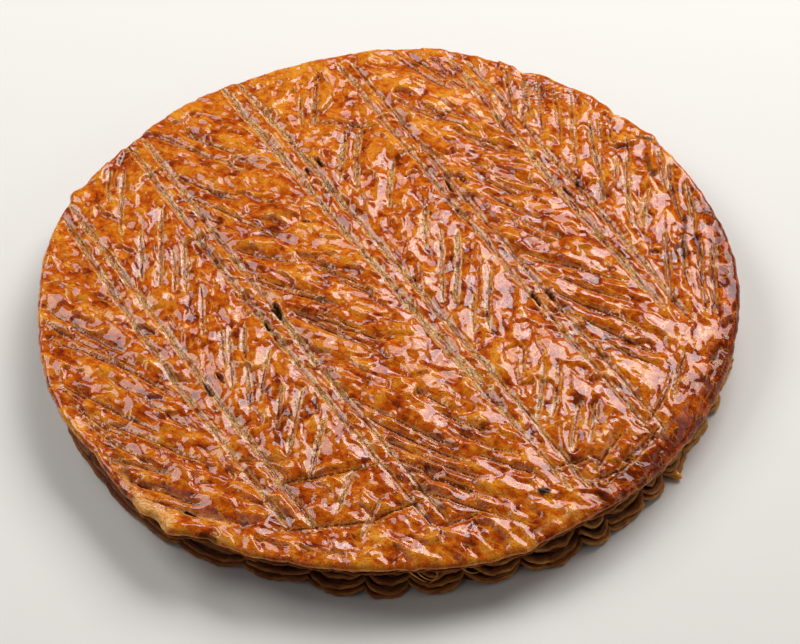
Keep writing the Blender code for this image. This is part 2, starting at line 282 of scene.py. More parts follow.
scoring = {
    "seed": 6,
    "barbSlide": (0.9, 1.6),   # how far a barb's start strays from its row
    "headingStray": 2.0,       # degrees
    # where a cut has torn wider: place, reach, how much half its width grows
    "torn": [((32, -57), 11, 1.5), ((-38, 72), 14, 0.4), ((20, -35), 12, 0.5), ((70, 58), 12, 0.5)],
    "stemDepth": 0.6, "barbDepth": 0.6,
    "waver": 0.35,             # how far the knife wavers sideways
    "ragged": 0.25,            # unevenness of a cut's width
    "wide": 0.95,              # a cut with a greater half width shows both its edges
    "rimRoom": 3.0,            # a cut ends this far inside the rim
    "narrow": 0.45,            # how much narrower the stems are near the front
}


def roomToRim(x, y):
    return outlineRadius(np.arctan2(y, x)) - np.hypot(x, y)


def scoredCuts():
    draw = random.Random(scoring["seed"])
    cuts = [dict(start=start, end=end, bow=bow, width=width, open=gape,
                 depth=scoring["stemDepth"], tip=0.03)
            for start, end, bow, width, gape in stems]
    for start, end, width, gape in strokes:
        cuts.append(dict(start=start, end=end, bow=draw.uniform(-0.6, 1.0), open=gape, tip=0.22,
                         width=width * (0.85 if gape > 0.5 else 0.6), depth=scoring["barbDepth"]))
    for first, last, count, lengths, headings, width, gape in barbRows:
        for index in range(count):
            share = index / (count - 1)
            x, y = (a + (b - a) * share + draw.uniform(-stray, stray)
                    for a, b, stray in zip(first, last, scoring["barbSlide"]))
            turn = headings[0] + (headings[1] - headings[0]) * share
            turn = math.radians(turn + draw.uniform(-1, 1) * scoring["headingStray"])
            length = draw.uniform(*lengths)
            while roomToRim(x, y) < scoring["rimRoom"]:
                x, y, length = x + math.cos(turn), y + math.sin(turn), length - 1
            end = x + math.cos(turn) * length, y + math.sin(turn) * length
            cuts.append(dict(start=(x, y), end=end, bow=draw.uniform(-0.6, 1.2), tip=0.22,
                             width=width * (0.8 if gape > 0.45 else 0.6) * draw.uniform(0.8, 1.2),
                             depth=scoring["barbDepth"],
                             open=min(1, gape * draw.uniform(0.7, 1.3))))
    return cuts


def readCuts(x, y, cuts):
    # for every point, about the nearest cut: distance beyond its edge (less than 0 inside it),
    # distance off its line and along it, its half width, how open it is and the way across it;
    # also the cuts' depth there and how upright the barbs round it are
    names = ("depth", "gape", "off", "along", "half", "acrossX", "acrossY")
    read = {name: np.zeros(x.shape) for name in names}
    read["near"] = np.full(x.shape, 30.0)
    upright, slanting = np.full(x.shape, 1e-4), np.full(x.shape, 1e-4)
    for number, cut in enumerate(cuts):
        (x0, y0), (x1, y1) = cut["start"], cut["end"]
        reach = 12.0
        box = ((x > min(x0, x1) - reach) & (x < max(x0, x1) + reach)
               & (y > min(y0, y1) - reach) & (y < max(y0, y1) + reach))
        px, py = x[box] - x0, y[box] - y0
        length = math.hypot(x1 - x0, y1 - y0)
        ux, uy = (x1 - x0) / length, (y1 - y0) / length
        along = px * ux + py * uy
        flat = 0 * along
        share = np.clip(along / length, 0, 1)
        waver = lumps(along, flat + number * 7.3, 11.0, 21) * scoring["waver"]
        off = px * -uy + py * ux + 4 * share * (1 - share) * cut["bow"] + waver
        full = np.clip(np.minimum(share, 1 - share) / cut["tip"], 0, 1) ** 0.6
        ragged = 1 + scoring["ragged"] * lumps(along, flat + number * 5.7, 8.0, 23)
        ragged = ragged + 0.6 * scoring["ragged"] * lumps(along, np.sign(off) * 40 + number, 2.6, 24)
        open_ = cut["open"] * np.clip(0.8 + 0.8 * lumps(along, flat + number, 6.0, 26), 0.1, 1)
        torn = sum(grown * np.exp(-((x[box] - tx) ** 2 + (y[box] - ty) ** 2) / reach ** 2)
                   for (tx, ty), reach, grown in scoring["torn"])
        torn = torn * (cut["tip"] < 0.1) * (cut["open"] > 0.95)
        narrowed = smooth(-45, -80, y[box]) * smooth(-25, 0, x[box]) * (cut["tip"] < 0.1)
        half = (cut["width"] / 2 + torn) * (1 - scoring["narrow"] * narrowed)
        half = np.maximum(half * full * ragged, 0.02)
        beyondTip = np.maximum(np.maximum(-along, along - length), 0)
        away = np.hypot(off, beyondTip) - half
        bowl = np.clip(1 - (np.abs(off) / (half + 0.15)) ** 2, 0, 1) ** 0.7
        bowl = bowl * full * (beyondTip <= 0) * cut["depth"]
        read["depth"][box] = np.maximum(read["depth"][box], bowl)
        closer = away < read["near"][box]
        for name, value in (("near", away), ("gape", open_), ("off", off), ("half", half),
                            ("along", along + number * 31.0), ("acrossX", flat - uy),
                            ("acrossY", flat + ux)):
            read[name][box] = np.where(closer, value, read[name][box])
        pull = np.exp(-np.maximum(away, 0) / 2.5)
        if abs(ux) < 0.35:
            upright[box] += pull
        elif abs(uy) < 0.75:
            slanting[box] += pull
    read["upright"] = upright / (upright + slanting)
    return read


def snapToCuts(x, y, cuts):
    # points near a cut's edge, or near the line of a thin cut, move onto it to make it crisp
    read = readCuts(x, y, cuts)
    near, off = read["near"], read["off"]
    wide = read["half"] > scoring["wide"]
    toEdge = np.where(np.abs(near) < lid["snap"], -near * np.sign(off), 0)
    toLine = np.where((np.abs(off) < lid["snap"]) & (near < 0.2), -off, 0)
    move = np.where(wide, toEdge, toLine)
    return x + move * read["acrossX"], y + move * read["acrossY"]


# steam slits pricked through the lid: start, end, width
slits = [
    ((-72, -47), (-69, -54), 1.7), ((-48, -18), (-46, -23), 1.6), ((-44, -9), (-41, -18), 2.0),
    ((-30, 66), (-28, 61), 1.4), ((-26, 71), (-22, 65), 1.5), ((28, 54), (31, 46), 1.7),
    ((58, -11), (61, -19), 1.6), ((64, -10), (67, -17), 1.5), ((76, 47), (80, 40), 1.5),
    ((81, 50), (85, 44), 1.3), ((12, 1), (13, -2), 1.0), ((-32, 36), (-29, 34), 0.9),
    ((-67, -43), (-63.5, -49), 1.2), ((33, 56.5), (36.5, 50.5), 1.1), ((51, 93), (56, 82), 0.6),
]
slitDepth = 2.2


def readSlits(x, y):
    # distance beyond the edge of the nearest slit, less than 0 inside it
    near = np.full(x.shape, 30.0)
    for (x0, y0), (x1, y1), width in slits:
        length = math.hypot(x1 - x0, y1 - y0)
        ux, uy = (x1 - x0) / length, (y1 - y0) / length
        along = (x - x0) * ux + (y - y0) * uy
        off = (x - x0) * -uy + (y - y0) * ux + 0.25 * lumps(along, 0 * along + x0, 2.5, 25)
        share = np.clip(along / length, 0, 1)
        half = width / 2 * np.sqrt(np.maximum(4 * share * (1 - share), 0.02))
        beyondTip = np.maximum(np.maximum(-along, along - length), 0)
        near = np.minimum(near, np.hypot(off, beyondTip) - half)
    return near


# ---- the crimped lobes of the side ----
lobes = {
    "count": 43, "seed": 1506, "unevenness": 0.36, "depth": 4.2, "lean": 6.0,
    # where the lobes are pressed flat: angle, spread in degrees, how much
    "flat": [(214, 30, 0.95)],
    # where the base spreads (above 0) or sits in: angle, spread in degrees, millimetres
    "spread": [(298, 18, 2.6), (244, 15, -2.5), (214, 16, -2.0), (185, 22, -2.0)],
    # where the middle of the side is tucked in under the lid
    "tucked": [(216, 14, 5.0), (196, 16, 3.5), (238, 14, 3.0), (258, 13, 2.5)],
}


def lobeEdges():
    # angles where one lobe ends and the next begins; the lobes differ in width
    draw = random.Random(lobes["seed"])
    widths = [1 + draw.uniform(-1, 1) * lobes["unevenness"] for _ in range(lobes["count"])]
    return np.concatenate([[0], np.cumsum(widths)]) * math.tau / sum(widths)


notchAngles = lobeEdges()


def acrossLobe(turn):
    # which lobe an angle is in, and how far across it
    turn = np.mod(turn, math.tau)
    number = np.clip(np.searchsorted(notchAngles, turn, side="right") - 1, 0,
                     lobes["count"] - 1)
    width = notchAngles[number + 1] - notchAngles[number]
    return number, (turn - notchAngles[number]) / width


# ---- making meshes ----
def makePiece(name, vertices, faces, material, layers=None):
    # vertices in plan millimetres; layers are named numbers kept on the vertices
    mesh = bpy.data.meshes.new(name)
    placed = ((vertices - middle) * mm).astype(np.float32)
    faces = np.asarray(faces, np.int32)
    corners = faces.shape[1]
    mesh.vertices.add(len(placed))
    mesh.vertices.foreach_set("co", placed.ravel())
    mesh.loops.add(faces.size)
    mesh.loops.foreach_set("vertex_index", faces.ravel())
    mesh.polygons.add(len(faces))
    mesh.polygons.foreach_set("loop_start", np.arange(0, faces.size, corners, dtype=np.int32))
    mesh.update(calc_edges=True)
    mesh.validate()
    for layer, numbers in (layers or {}).items():
        stored = mesh.attributes.new(layer, "FLOAT", "POINT")
        stored.data.foreach_set("value", np.asarray(numbers, np.float32))
    mesh.shade_smooth()
    mesh.materials.append(material)
    piece = bpy.data.objects.new(name, mesh)
    bpy.context.scene.collection.objects.link(piece)
    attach(piece, "root")
    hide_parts("galette")
    return piece


def ringFaces(upper, lower):
    # triangles between two rings of the same count, upper ring's outside facing out
    after = np.roll(np.arange(len(upper)), -1)
    return np.concatenate([np.stack([upper, lower, lower[after]], 1),
                           np.stack([upper, lower[after], upper[after]], 1)])


# ---- shader node groups and materials ----
def newGroup(name, inputs, outputs):
    tree = bpy.data.node_groups.new(name, "ShaderNodeTree")
    for label, value in inputs.items():
        kind = "NodeSocketColor" if isinstance(value, tuple) else "NodeSocketFloat"
        socket = tree.interface.new_socket(label, in_out="INPUT", socket_type=kind)
        socket.default_value = value
    for label, kind in outputs.items():
        tree.interface.new_socket(label, in_out="OUTPUT", socket_type=kind)
    return tree, tree.nodes.new("NodeGroupInput"), tree.nodes.new("NodeGroupOutput")


def put(tree, kind, values=None, **settings):
    # adds a node; a value is a number or colour, or a socket to link from
    node = tree.nodes.new(kind)
    for key, value in settings.items():
        setattr(node, key, value)
    for key, value in (values or {}).items():
        if isinstance(value, bpy.types.NodeSocket):
            tree.links.new(value, node.inputs[key])
        else:
            node.inputs[key].default_value = value
    return node


def noiseMask(tree, where, scale, low, high, detail=3.0, stretch=None, rough=0.5):
    # a noise turned into a mask from 0 to 1 between two of its levels; stretch is the heading
    # in degrees along which it is drawn out, and how much
    if stretch:
        heading, length = stretch
        where = put(tree, "ShaderNodeMapping", {"Vector": where, "Scale": (length, 1, 1),
                                                "Rotation": (0, 0, math.radians(heading))},
                    vector_type="TEXTURE").outputs[0]
    noise = put(tree, "ShaderNodeTexNoise", {"Vector": where, "Scale": scale, "Detail": detail,
                                             "Roughness": rough})
    return ranged(tree, noise.outputs[0], low, high)


def ramp(tree, value, stops):
    # colours over a value, as (place, colour)
    node = put(tree, "ShaderNodeValToRGB", {"Fac": value})
    points = node.color_ramp.elements
    for place, colour in stops[2:]:
        points.new(place)
    for point, (place, colour) in zip(points, sorted(stops)):
        point.position, point.color = place, colour
    return node.outputs[0]


def ranged(tree, value, low, high, outLow=0.0, outHigh=1.0):
    return put(tree, "ShaderNodeMapRange", {"Value": value, "From Min": low, "From Max": high,
                                            "To Min": outLow, "To Max": outHigh}).outputs[0]


def blend(tree, share, a, b, how="MIX"):
    node = put(tree, "ShaderNodeMix", data_type="RGBA", blend_type=how)
    for index, value in ((0, share), (6, a), (7, b)):
        if isinstance(value, bpy.types.NodeSocket):
            tree.links.new(value, node.inputs[index])
        else:
            node.inputs[index].default_value = value
    return node.outputs[2]


def sums(tree, how, a, b, limit=False):
    node = put(tree, "ShaderNodeMath", operation=how, use_clamp=limit)
    for index, value in ((0, a), (1, b)):
        if isinstance(value, bpy.types.NodeSocket):
            tree.links.new(value, node.inputs[index])
        else:
            node.inputs[index].default_value = value
    return node.outputs[0]


def layer(tree, name):
    return put(tree, "ShaderNodeAttribute", attribute_name=name).outputs["Fac"]


def newMaterial(name):
    material = bpy.data.materials.new(name)
    material.use_nodes = True
    tree = material.node_tree
    where = put(tree, "ShaderNodeTexCoord").outputs["Object"]
    return material, tree, tree.nodes["Principled BSDF"], where


def mottleGroup():
    # browning that every baked surface shows: broad patches, small blotches and dark specks
    tree, given, out = newGroup(
        "bakedMottle", {"Patch Scale": 60.0, "Blotch Scale": 230.0, "Speck Scale": 900.0},
        {"Patches": "NodeSocketFloat", "Blotches": "NodeSocketFloat",
         "Specks": "NodeSocketFloat"})
    where = put(tree, "ShaderNodeTexCoord").outputs["Object"]
    patches = noiseMask(tree, where, given.outputs["Patch Scale"], 0.38, 0.62, 2.0)
    blotches = noiseMask(tree, where, given.outputs["Blotch Scale"], 0.38, 0.62, 3.0)
    specks = noiseMask(tree, where, given.outputs["Speck Scale"], 0.60, 0.68, 1.0)
    for name, value in (("Patches", patches), ("Blotches", blotches), ("Specks", specks)):
        tree.links.new(value, out.inputs[name])
    return tree


def grainGroup():
    # fine relief of the baked skin as a height: small blisters that meet in creases, ripples
    # on them and tiny pits
    tree, given, out = newGroup(
        "fineGrain", {"Fold Scale": 330.0, "Fold Share": 1.0, "Ripple Scale": 1000.0,
                      "Ripple Share": 0.3, "Pit Scale": 1700.0, "Pit Share": 0.4},
        {"Height": "NodeSocketFloat"})
    where = put(tree, "ShaderNodeTexCoord").outputs["Object"]
    fold = put(tree, "ShaderNodeTexNoise", {"Vector": where, "Detail": 1.0, "Distortion": 0.6,
                                            "Scale": given.outputs["Fold Scale"]})
    fold = sums(tree, "ABSOLUTE", sums(tree, "SUBTRACT", fold.outputs[0], 0.5), 0)
    fold = sums(tree, "MULTIPLY", ranged(tree, fold, 0.0, 0.22), given.outputs["Fold Share"])
    ripple = put(tree, "ShaderNodeTexNoise", {"Vector": where, "Detail": 2.0,
                                              "Scale": given.outputs["Ripple Scale"]})
    ripple = sums(tree, "MULTIPLY", ripple.outputs[0], given.outputs["Ripple Share"])
    pits = noiseMask(tree, where, given.outputs["Pit Scale"], 0.60, 0.72, 0.0)
    sunk = sums(tree, "MULTIPLY", pits, given.outputs["Pit Share"])
    height = sums(tree, "SUBTRACT", sums(tree, "ADD", fold, ripple), sunk)
    tree.links.new(height, out.inputs["Height"])
    return tree


def flakeGroup():
    # thin flakes drawn out along a heading: every flake has its own tilt, level and tone, and
    # some of the edges between flakes show as hairlines
    tree, given, out = newGroup(
        "bakedFlakes", {"Scale": 450.0, "Turn": 0.0, "Length": 2.0, "Tilt": 1.0, "Level": 0.3},
        {"Height": "NodeSocketFloat", "Tone": "NodeSocketFloat", "Hairline": "NodeSocketFloat"})
    where = put(tree, "ShaderNodeTexCoord").outputs["Object"]
    turn = put(tree, "ShaderNodeCombineXYZ", {"Z": given.outputs["Turn"]}).outputs[0]
    longer = put(tree, "ShaderNodeCombineXYZ", {"X": given.outputs["Length"], "Y": 1.0,
                                                "Z": 1.0}).outputs[0]
    place = put(tree, "ShaderNodeMapping", {"Vector": where, "Rotation": turn, "Scale": longer},
                vector_type="TEXTURE").outputs[0]
    bend = put(tree, "ShaderNodeTexNoise", {"Vector": place, "Scale": given.outputs["Scale"],
                                            "Detail": 1.0}).outputs["Color"]
    bend = put(tree, "ShaderNodeVectorMath", {0: bend, 1: (0.5, 0.5, 0.5)},
               operation="SUBTRACT").outputs[0]
    reach = sums(tree, "DIVIDE", 0.9, given.outputs["Scale"])
    bend = put(tree, "ShaderNodeVectorMath", {0: bend, "Scale": reach},
               operation="SCALE").outputs[0]
    place = put(tree, "ShaderNodeVectorMath", {0: place, 1: bend}, operation="ADD").outputs[0]
    cell = put(tree, "ShaderNodeTexVoronoi", {"Vector": place, "Scale": given.outputs["Scale"]})
    inside = put(tree, "ShaderNodeVectorMath", {0: place, 1: cell.outputs["Position"]},
                 operation="SUBTRACT").outputs[0]
    inside = put(tree, "ShaderNodeVectorMath", {0: inside, "Scale": given.outputs["Scale"]},
                 operation="SCALE").outputs[0]
    own = put(tree, "ShaderNodeVectorMath", {0: cell.outputs["Color"], 1: (0.5, 0.5, 0.5)},
              operation="SUBTRACT").outputs[0]
    slope = put(tree, "ShaderNodeVectorMath", {0: inside, 1: own},
                operation="DOT_PRODUCT").outputs["Value"]
    tone = put(tree, "ShaderNodeSeparateColor", {"Color": cell.outputs["Color"]}).outputs[2]
    height = sums(tree, "ADD", sums(tree, "MULTIPLY", slope, given.outputs["Tilt"]),
                  sums(tree, "MULTIPLY", tone, given.outputs["Level"]))
    edge = put(tree, "ShaderNodeTexVoronoi", {"Vector": place, "Scale": given.outputs["Scale"]},
               feature="DISTANCE_TO_EDGE").outputs["Distance"]
    shows = noiseMask(tree, where, 210.0, 0.44, 0.56, 1.0)
    hairline = sums(tree, "MULTIPLY", ranged(tree, edge, 0.055, 0.02), shows)
    for name, value in (("Height", height), ("Tone", tone), ("Hairline", hairline)):
        tree.links.new(value, out.inputs[name])
    return tree


def fibreGroup():
    # fibres that run along a cut: Off and Along are millimetres off the cut's line and along
    # it; the second output is painted shade: a dark wavy line down the knife's slit
    tree, given, out = newGroup("cutFibres", {"Off": 0.0, "Along": 0.0},
                                {"Fibres": "NodeSocketFloat", "KnifeShade": "NodeSocketFloat"})
    lay = []
    for across, down in ((1.5, 0.22), (0.0, 0.35)):
        place = put(tree, "ShaderNodeCombineXYZ", {
            "X": sums(tree, "MULTIPLY", given.outputs["Off"], across),
            "Y": sums(tree, "MULTIPLY", given.outputs["Along"], down)}).outputs[0]
        lay.append(place)
    fibres = noiseMask(tree, lay[0], 1.0, 0.40, 0.60, 3.0, rough=0.65)
    sway = put(tree, "ShaderNodeTexNoise", {"Vector": lay[1], "Scale": 1.0, "Detail": 1.0})
    sway = ranged(tree, sway.outputs[0], 0.3, 0.7, -0.7, 0.7)
    away = sums(tree, "ABSOLUTE", sums(tree, "SUBTRACT", given.outputs["Off"], sway), 0)
    knifeShade = ranged(tree, away, 0.32, 0.12)
    comes = noiseMask(tree, lay[1], 0.6, 0.36, 0.46, 1.0)
    tree.links.new(fibres, out.inputs["Fibres"])
    tree.links.new(sums(tree, "MULTIPLY", knifeShade, comes), out.inputs["KnifeShade"])
    return tree


mottle = mottleGroup()
grain = grainGroup()
flakes = flakeGroup()
fibres = fibreGroup()
crust = {   # linear colours
    "gold": (0.89, 0.315, 0.020, 1), "amber": (0.67, 0.133, 0.004, 1),
    "deep": (0.48, 0.062, 0.002, 1), "mahogany": (0.19, 0.022, 0.003, 1),
    # the first colour on the next line serves scorched spots, and also the painted shade inside the steam slits
    "burntAndSlitShade": (0.022, 0.010, 0.006, 1), "lip": (0.90, 0.50, 0.17, 1),
    "crest": (0.86, 0.38, 0.06, 1), "crumb": (0.74, 0.37, 0.11, 1), "crumbPale": (0.95, 0.66, 0.33, 1),
    # on the next line: the first colour darkens the crumb's specks and gives the painted shade in an open cut's
    # slit; the second is the painted shade in a closed cut's crease
    "crumbDark": (0.20, 0.055, 0.012, 1), "creaseShade": (0.06, 0.014, 0.004, 1),
    "skinRoughness": 0.5, "skinShine": 0.0, "cutRoughness": 0.62,
    "glazeWeight": 1.0, "glazeRoughness": 0.06, "glazeIor": 1.5,
    "grainDepth": 0.00016, "grainStrength": 1.0,
    "barbTurn": -33, "barbLength": 2.3, "uprightTurn": 90, "uprightLength": 1.9,
}


def lidFlakes(tree, scale, tilt, upright):
    # flakes that follow the upright barbs where those are near, the slanting ones elsewhere
    made = []
    for turn, length in ((crust["barbTurn"], crust["barbLength"]),
                         (crust["uprightTurn"], crust["uprightLength"])):
        made.append(put(tree, "ShaderNodeGroup", {
            "Scale": scale, "Turn": math.radians(turn), "Length": length, "Tilt": tilt},
            node_tree=flakes))
    mixed = []
    for name in ("Height", "Tone", "Hairline"):
        node = put(tree, "ShaderNodeMix", {"Factor": upright, "A": made[0].outputs[name],
                                           "B": made[1].outputs[name]})
        mixed.append(node.outputs[0])
    return mixed


def lidMaterial():
    material, tree, shader, where = newMaterial("glazedLid")
    spots = put(tree, "ShaderNodeGroup", {"Patch Scale": 105.0, "Blotch Scale": 310.0,
                                          "Speck Scale": 1100.0}, node_tree=mottle)
    gape, relief, upright = (layer(tree, name) for name in ("cutOpen", "relief", "upright"))
    thin, shade, scorchAndSlitShade = layer(tree, "thin"), layer(tree, "shade"), layer(tree, "scorchAndSlitShade")
    leaf, gapShade = layer(tree, "leaf"), layer(tree, "gapShade")
    grit = put(tree, "ShaderNodeTexNoise", {"Vector": where, "Scale": 1500.0, "Detail": 2.0})
    near = sums(tree, "ADD", layer(tree, "cutNear"), ranged(tree, grit.outputs[0], 0.3, 0.7,
                                                            -0.25, 0.25))
    flake, flakeTone, hairline = lidFlakes(tree, 270.0, 3.6, upright)
    threads = put(tree, "ShaderNodeGroup", {"Off": layer(tree, "cutOff"),
                                            "Along": layer(tree, "cutAlong")}, node_tree=fibres)
    fibre, knifeShade = threads.outputs
    # thick glaze in the hollows bakes dark, thin skin on the crests stays golden
    fine = noiseMask(tree, where, 640.0, 0.34, 0.66, 3.0)
    drawn = noiseMask(tree, where, 520.0, 0.36, 0.64, 3.0, (-33, 4.0))
    tone = ranged(tree, relief, -1.6, 1.8, 0.04, 0.32)
    for mask, share in ((spots.outputs["Patches"], 0.18), (spots.outputs["Blotches"], 0.25),
                        (fine, 0.10), (drawn, 0.12), (flakeTone, 0.22), (thin, 0.14),
                        (shade, -0.34)):
        tone = sums(tree, "ADD", tone, sums(tree, "MULTIPLY", mask, share))
    skin = ramp(tree, tone, [(0.33, crust["mahogany"]), (0.49, crust["deep"]),
                             (0.68, crust["amber"]), (0.96, crust["gold"])])
    # inside an open cut the dry crumb shows, with dark specks; its walls are darkened with painted shade
    speck = noiseMask(tree, where, 1500.0, 0.52, 0.60, 2.0)
    crumb = blend(tree, fibre, crust["crumb"], crust["crumbPale"])
    crumb = blend(tree, sums(tree, "MULTIPLY", speck, 0.5), crumb, crust["crumbDark"])
    # painted shade: a dark line down the knife's slit in the crumb
    crumb = blend(tree, sums(tree, "MULTIPLY", knifeShade, 0.7), crumb, crust["crumbDark"])
    bridged = noiseMask(tree, where, 330.0, 0.42, 0.50, 2.0)
    floorShare = sums(tree, "MULTIPLY", ranged(tree, near, -0.05, -0.25),
                      ranged(tree, gape, 0.32, 0.8))
    floorShare = sums(tree, "MULTIPLY", floorShare, bridged)
    # painted shade: a band just inside an open cut's edge, down its walls
    edge = sums(tree, "MULTIPLY", ranged(tree, near, 0.06, -0.06), ranged(tree, near, -0.4, -0.15))
    edge = sums(tree, "MULTIPLY", edge, ranged(tree, gape, 0.3, 0.7))
    lip = sums(tree, "MULTIPLY", ranged(tree, near, 1.0, 0.45), ranged(tree, near, -0.1, 0.1))
    lip = sums(tree, "MULTIPLY", lip, ranged(tree, gape, 0.3, 0.75, 0.1, 1.0))
    lip = sums(tree, "MULTIPLY", lip, noiseMask(tree, where, 420.0, 0.34, 0.54, 2.0))
    # painted shade: a closed cut's crease is painted with a dark line along it
    closed = sums(tree, "MULTIPLY", ranged(tree, near, -0.05, -0.35),
                  sums(tree, "SUBTRACT", 1.0, gape))
    creaseShadeLine = sums(tree, "ABSOLUTE", layer(tree, "cutOff"), 0)
    creaseShadeLine = sums(tree, "MULTIPLY", ranged(tree, creaseShadeLine, 0.36, 0.14), closed)
    # painted shade: a soft dark band along a closed cut
    creaseBandShade = sums(tree, "MULTIPLY", ranged(tree, near, 0.6, -0.1),
                  ranged(tree, gape, 0.5, 0.2))
    # wrinkles that run beside a cut, their creases darkened with painted shade
    beside = sums(tree, "MULTIPLY", ranged(tree, near, 2.6, 1.2), ranged(tree, near, 0.1, 0.5))
    wrinkle = sums(tree, "MULTIPLY", beside, ranged(tree, fibre, 0.25, 0.05))
    colour = blend(tree, sums(tree, "MULTIPLY", creaseBandShade, 0.4), skin, crust["mahogany"])
    colour = blend(tree, sums(tree, "MULTIPLY", creaseShadeLine, 0.95), colour, crust["creaseShade"])
    gilt = sums(tree, "MULTIPLY", ranged(tree, near, 1.2, 0.4), ranged(tree, near, -0.1, 0.2))
    gilt = sums(tree, "MULTIPLY", gilt, noiseMask(tree, where, 260.0, 0.34, 0.50, 2.0))
    colour = blend(tree, sums(tree, "MULTIPLY", gilt, 0.4), colour, crust["gold"])
    colour = blend(tree, lip, colour, crust["lip"])
    colour = blend(tree, floorShare, colour, crumb)
    colour = blend(tree, sums(tree, "MULTIPLY", edge, 0.4), colour, crust["mahogany"])
    # dark specks in the skin, and painted shade in the wrinkles' creases
    for mask, share in ((spots.outputs["Specks"], 0.35), (wrinkle, 0.35)):
        colour = blend(tree, sums(tree, "MULTIPLY", mask, share), colour, crust["mahogany"])
    colour = blend(tree, sums(tree, "MULTIPLY", hairline, 0.5), colour, crust["crest"])
    flaked = blend(tree, fine, crust["gold"], crust["lip"])
    flaked = blend(tree, sums(tree, "MULTIPLY", spots.outputs["Blotches"], 0.3), flaked,
                   crust["crumbPale"])
    leaf = sums(tree, "MULTIPLY", leaf, ranged(tree, drawn, 0.0, 0.6, 0.2, 1.0))
    colour = blend(tree, leaf, colour, flaked)
    # painted shade: the hollow under the lid's rim is painted near black
    colour = blend(tree, gapShade, colour, baked["deep"])
    # scorched spots go near black, and so does the inside of the steam slits as painted shade
    colour = blend(tree, scorchAndSlitShade, colour, crust["burntAndSlitShade"])
    tree.links.new(colour, shader.inputs["Base Color"])
    dry = sums(tree, "MAXIMUM", floorShare, sums(tree, "MAXIMUM", leaf, gapShade))
    dry = sums(tree, "MAXIMUM", dry, sums(tree, "MAXIMUM", scorchAndSlitShade, creaseShadeLine))
    rough = ranged(tree, dry, 0.0, 1.0, crust["skinRoughness"], crust["cutRoughness"])
    tree.links.new(rough, shader.inputs["Roughness"])
    coat = ranged(tree, dry, 0.0, 0.8, crust["glazeWeight"], 0.15)
    coat = sums(tree, "MULTIPLY", coat, ranged(tree, shade, 0.0, 1.0, 1.0, 0.55))
    tree.links.new(coat, shader.inputs["Coat Weight"])
    shader.inputs["Specular IOR Level"].default_value = crust["skinShine"]
    shader.inputs["Coat Roughness"].default_value = crust["glazeRoughness"]
    shader.inputs["Coat IOR"].default_value = crust["glazeIor"]
    height = put(tree, "ShaderNodeGroup", {"Fold Scale": 380.0, "Fold Share": 0.12,
                                           "Ripple Share": 0.12, "Pit Scale": 1350.0,
                                           "Pit Share": 1.8},
                 node_tree=grain).outputs[0]
    height = sums(tree, "ADD", height, flake)
    sunk = sums(tree, "MULTIPLY", ranged(tree, near, 0.1, -0.15), 0.7)
    for mask, depth in ((wrinkle, 0.6), (sums(tree, "MULTIPLY", knifeShade,
                                                                floorShare), 1.0),
                        (sums(tree, "MULTIPLY", speck, floorShare), 1.0)):
        sunk = sums(tree, "ADD", sunk, sums(tree, "MULTIPLY", mask, depth))
    height = sums(tree, "SUBTRACT", height, sunk)
    bump = put(tree, "ShaderNodeBump", {"Height": height, "Distance": crust["grainDepth"],
                                        "Strength": crust["grainStrength"]})
    tree.links.new(bump.outputs[0], shader.inputs["Normal"])
    return material


baked = {   # linear colours of the unglazed layers
    "edge": (0.82, 0.34, 0.055, 1), "face": (0.52, 0.096, 0.008, 1),
    # the last colour on the next line is painted shade: near black for the gaps between the layers and the
    # hollow under the lid
    "browned": (0.18, 0.025, 0.003, 1), "deep": (0.022, 0.005, 0.002, 1),
    # painted light: the golden colour of the side's lit layers
    "sideLightAndShade": (0.58, 0.27, 0.06, 1),
    "roughness": 0.34, "shine": 0.3, "grainDepth": 0.0003, "grainStrength": 0.6,
}


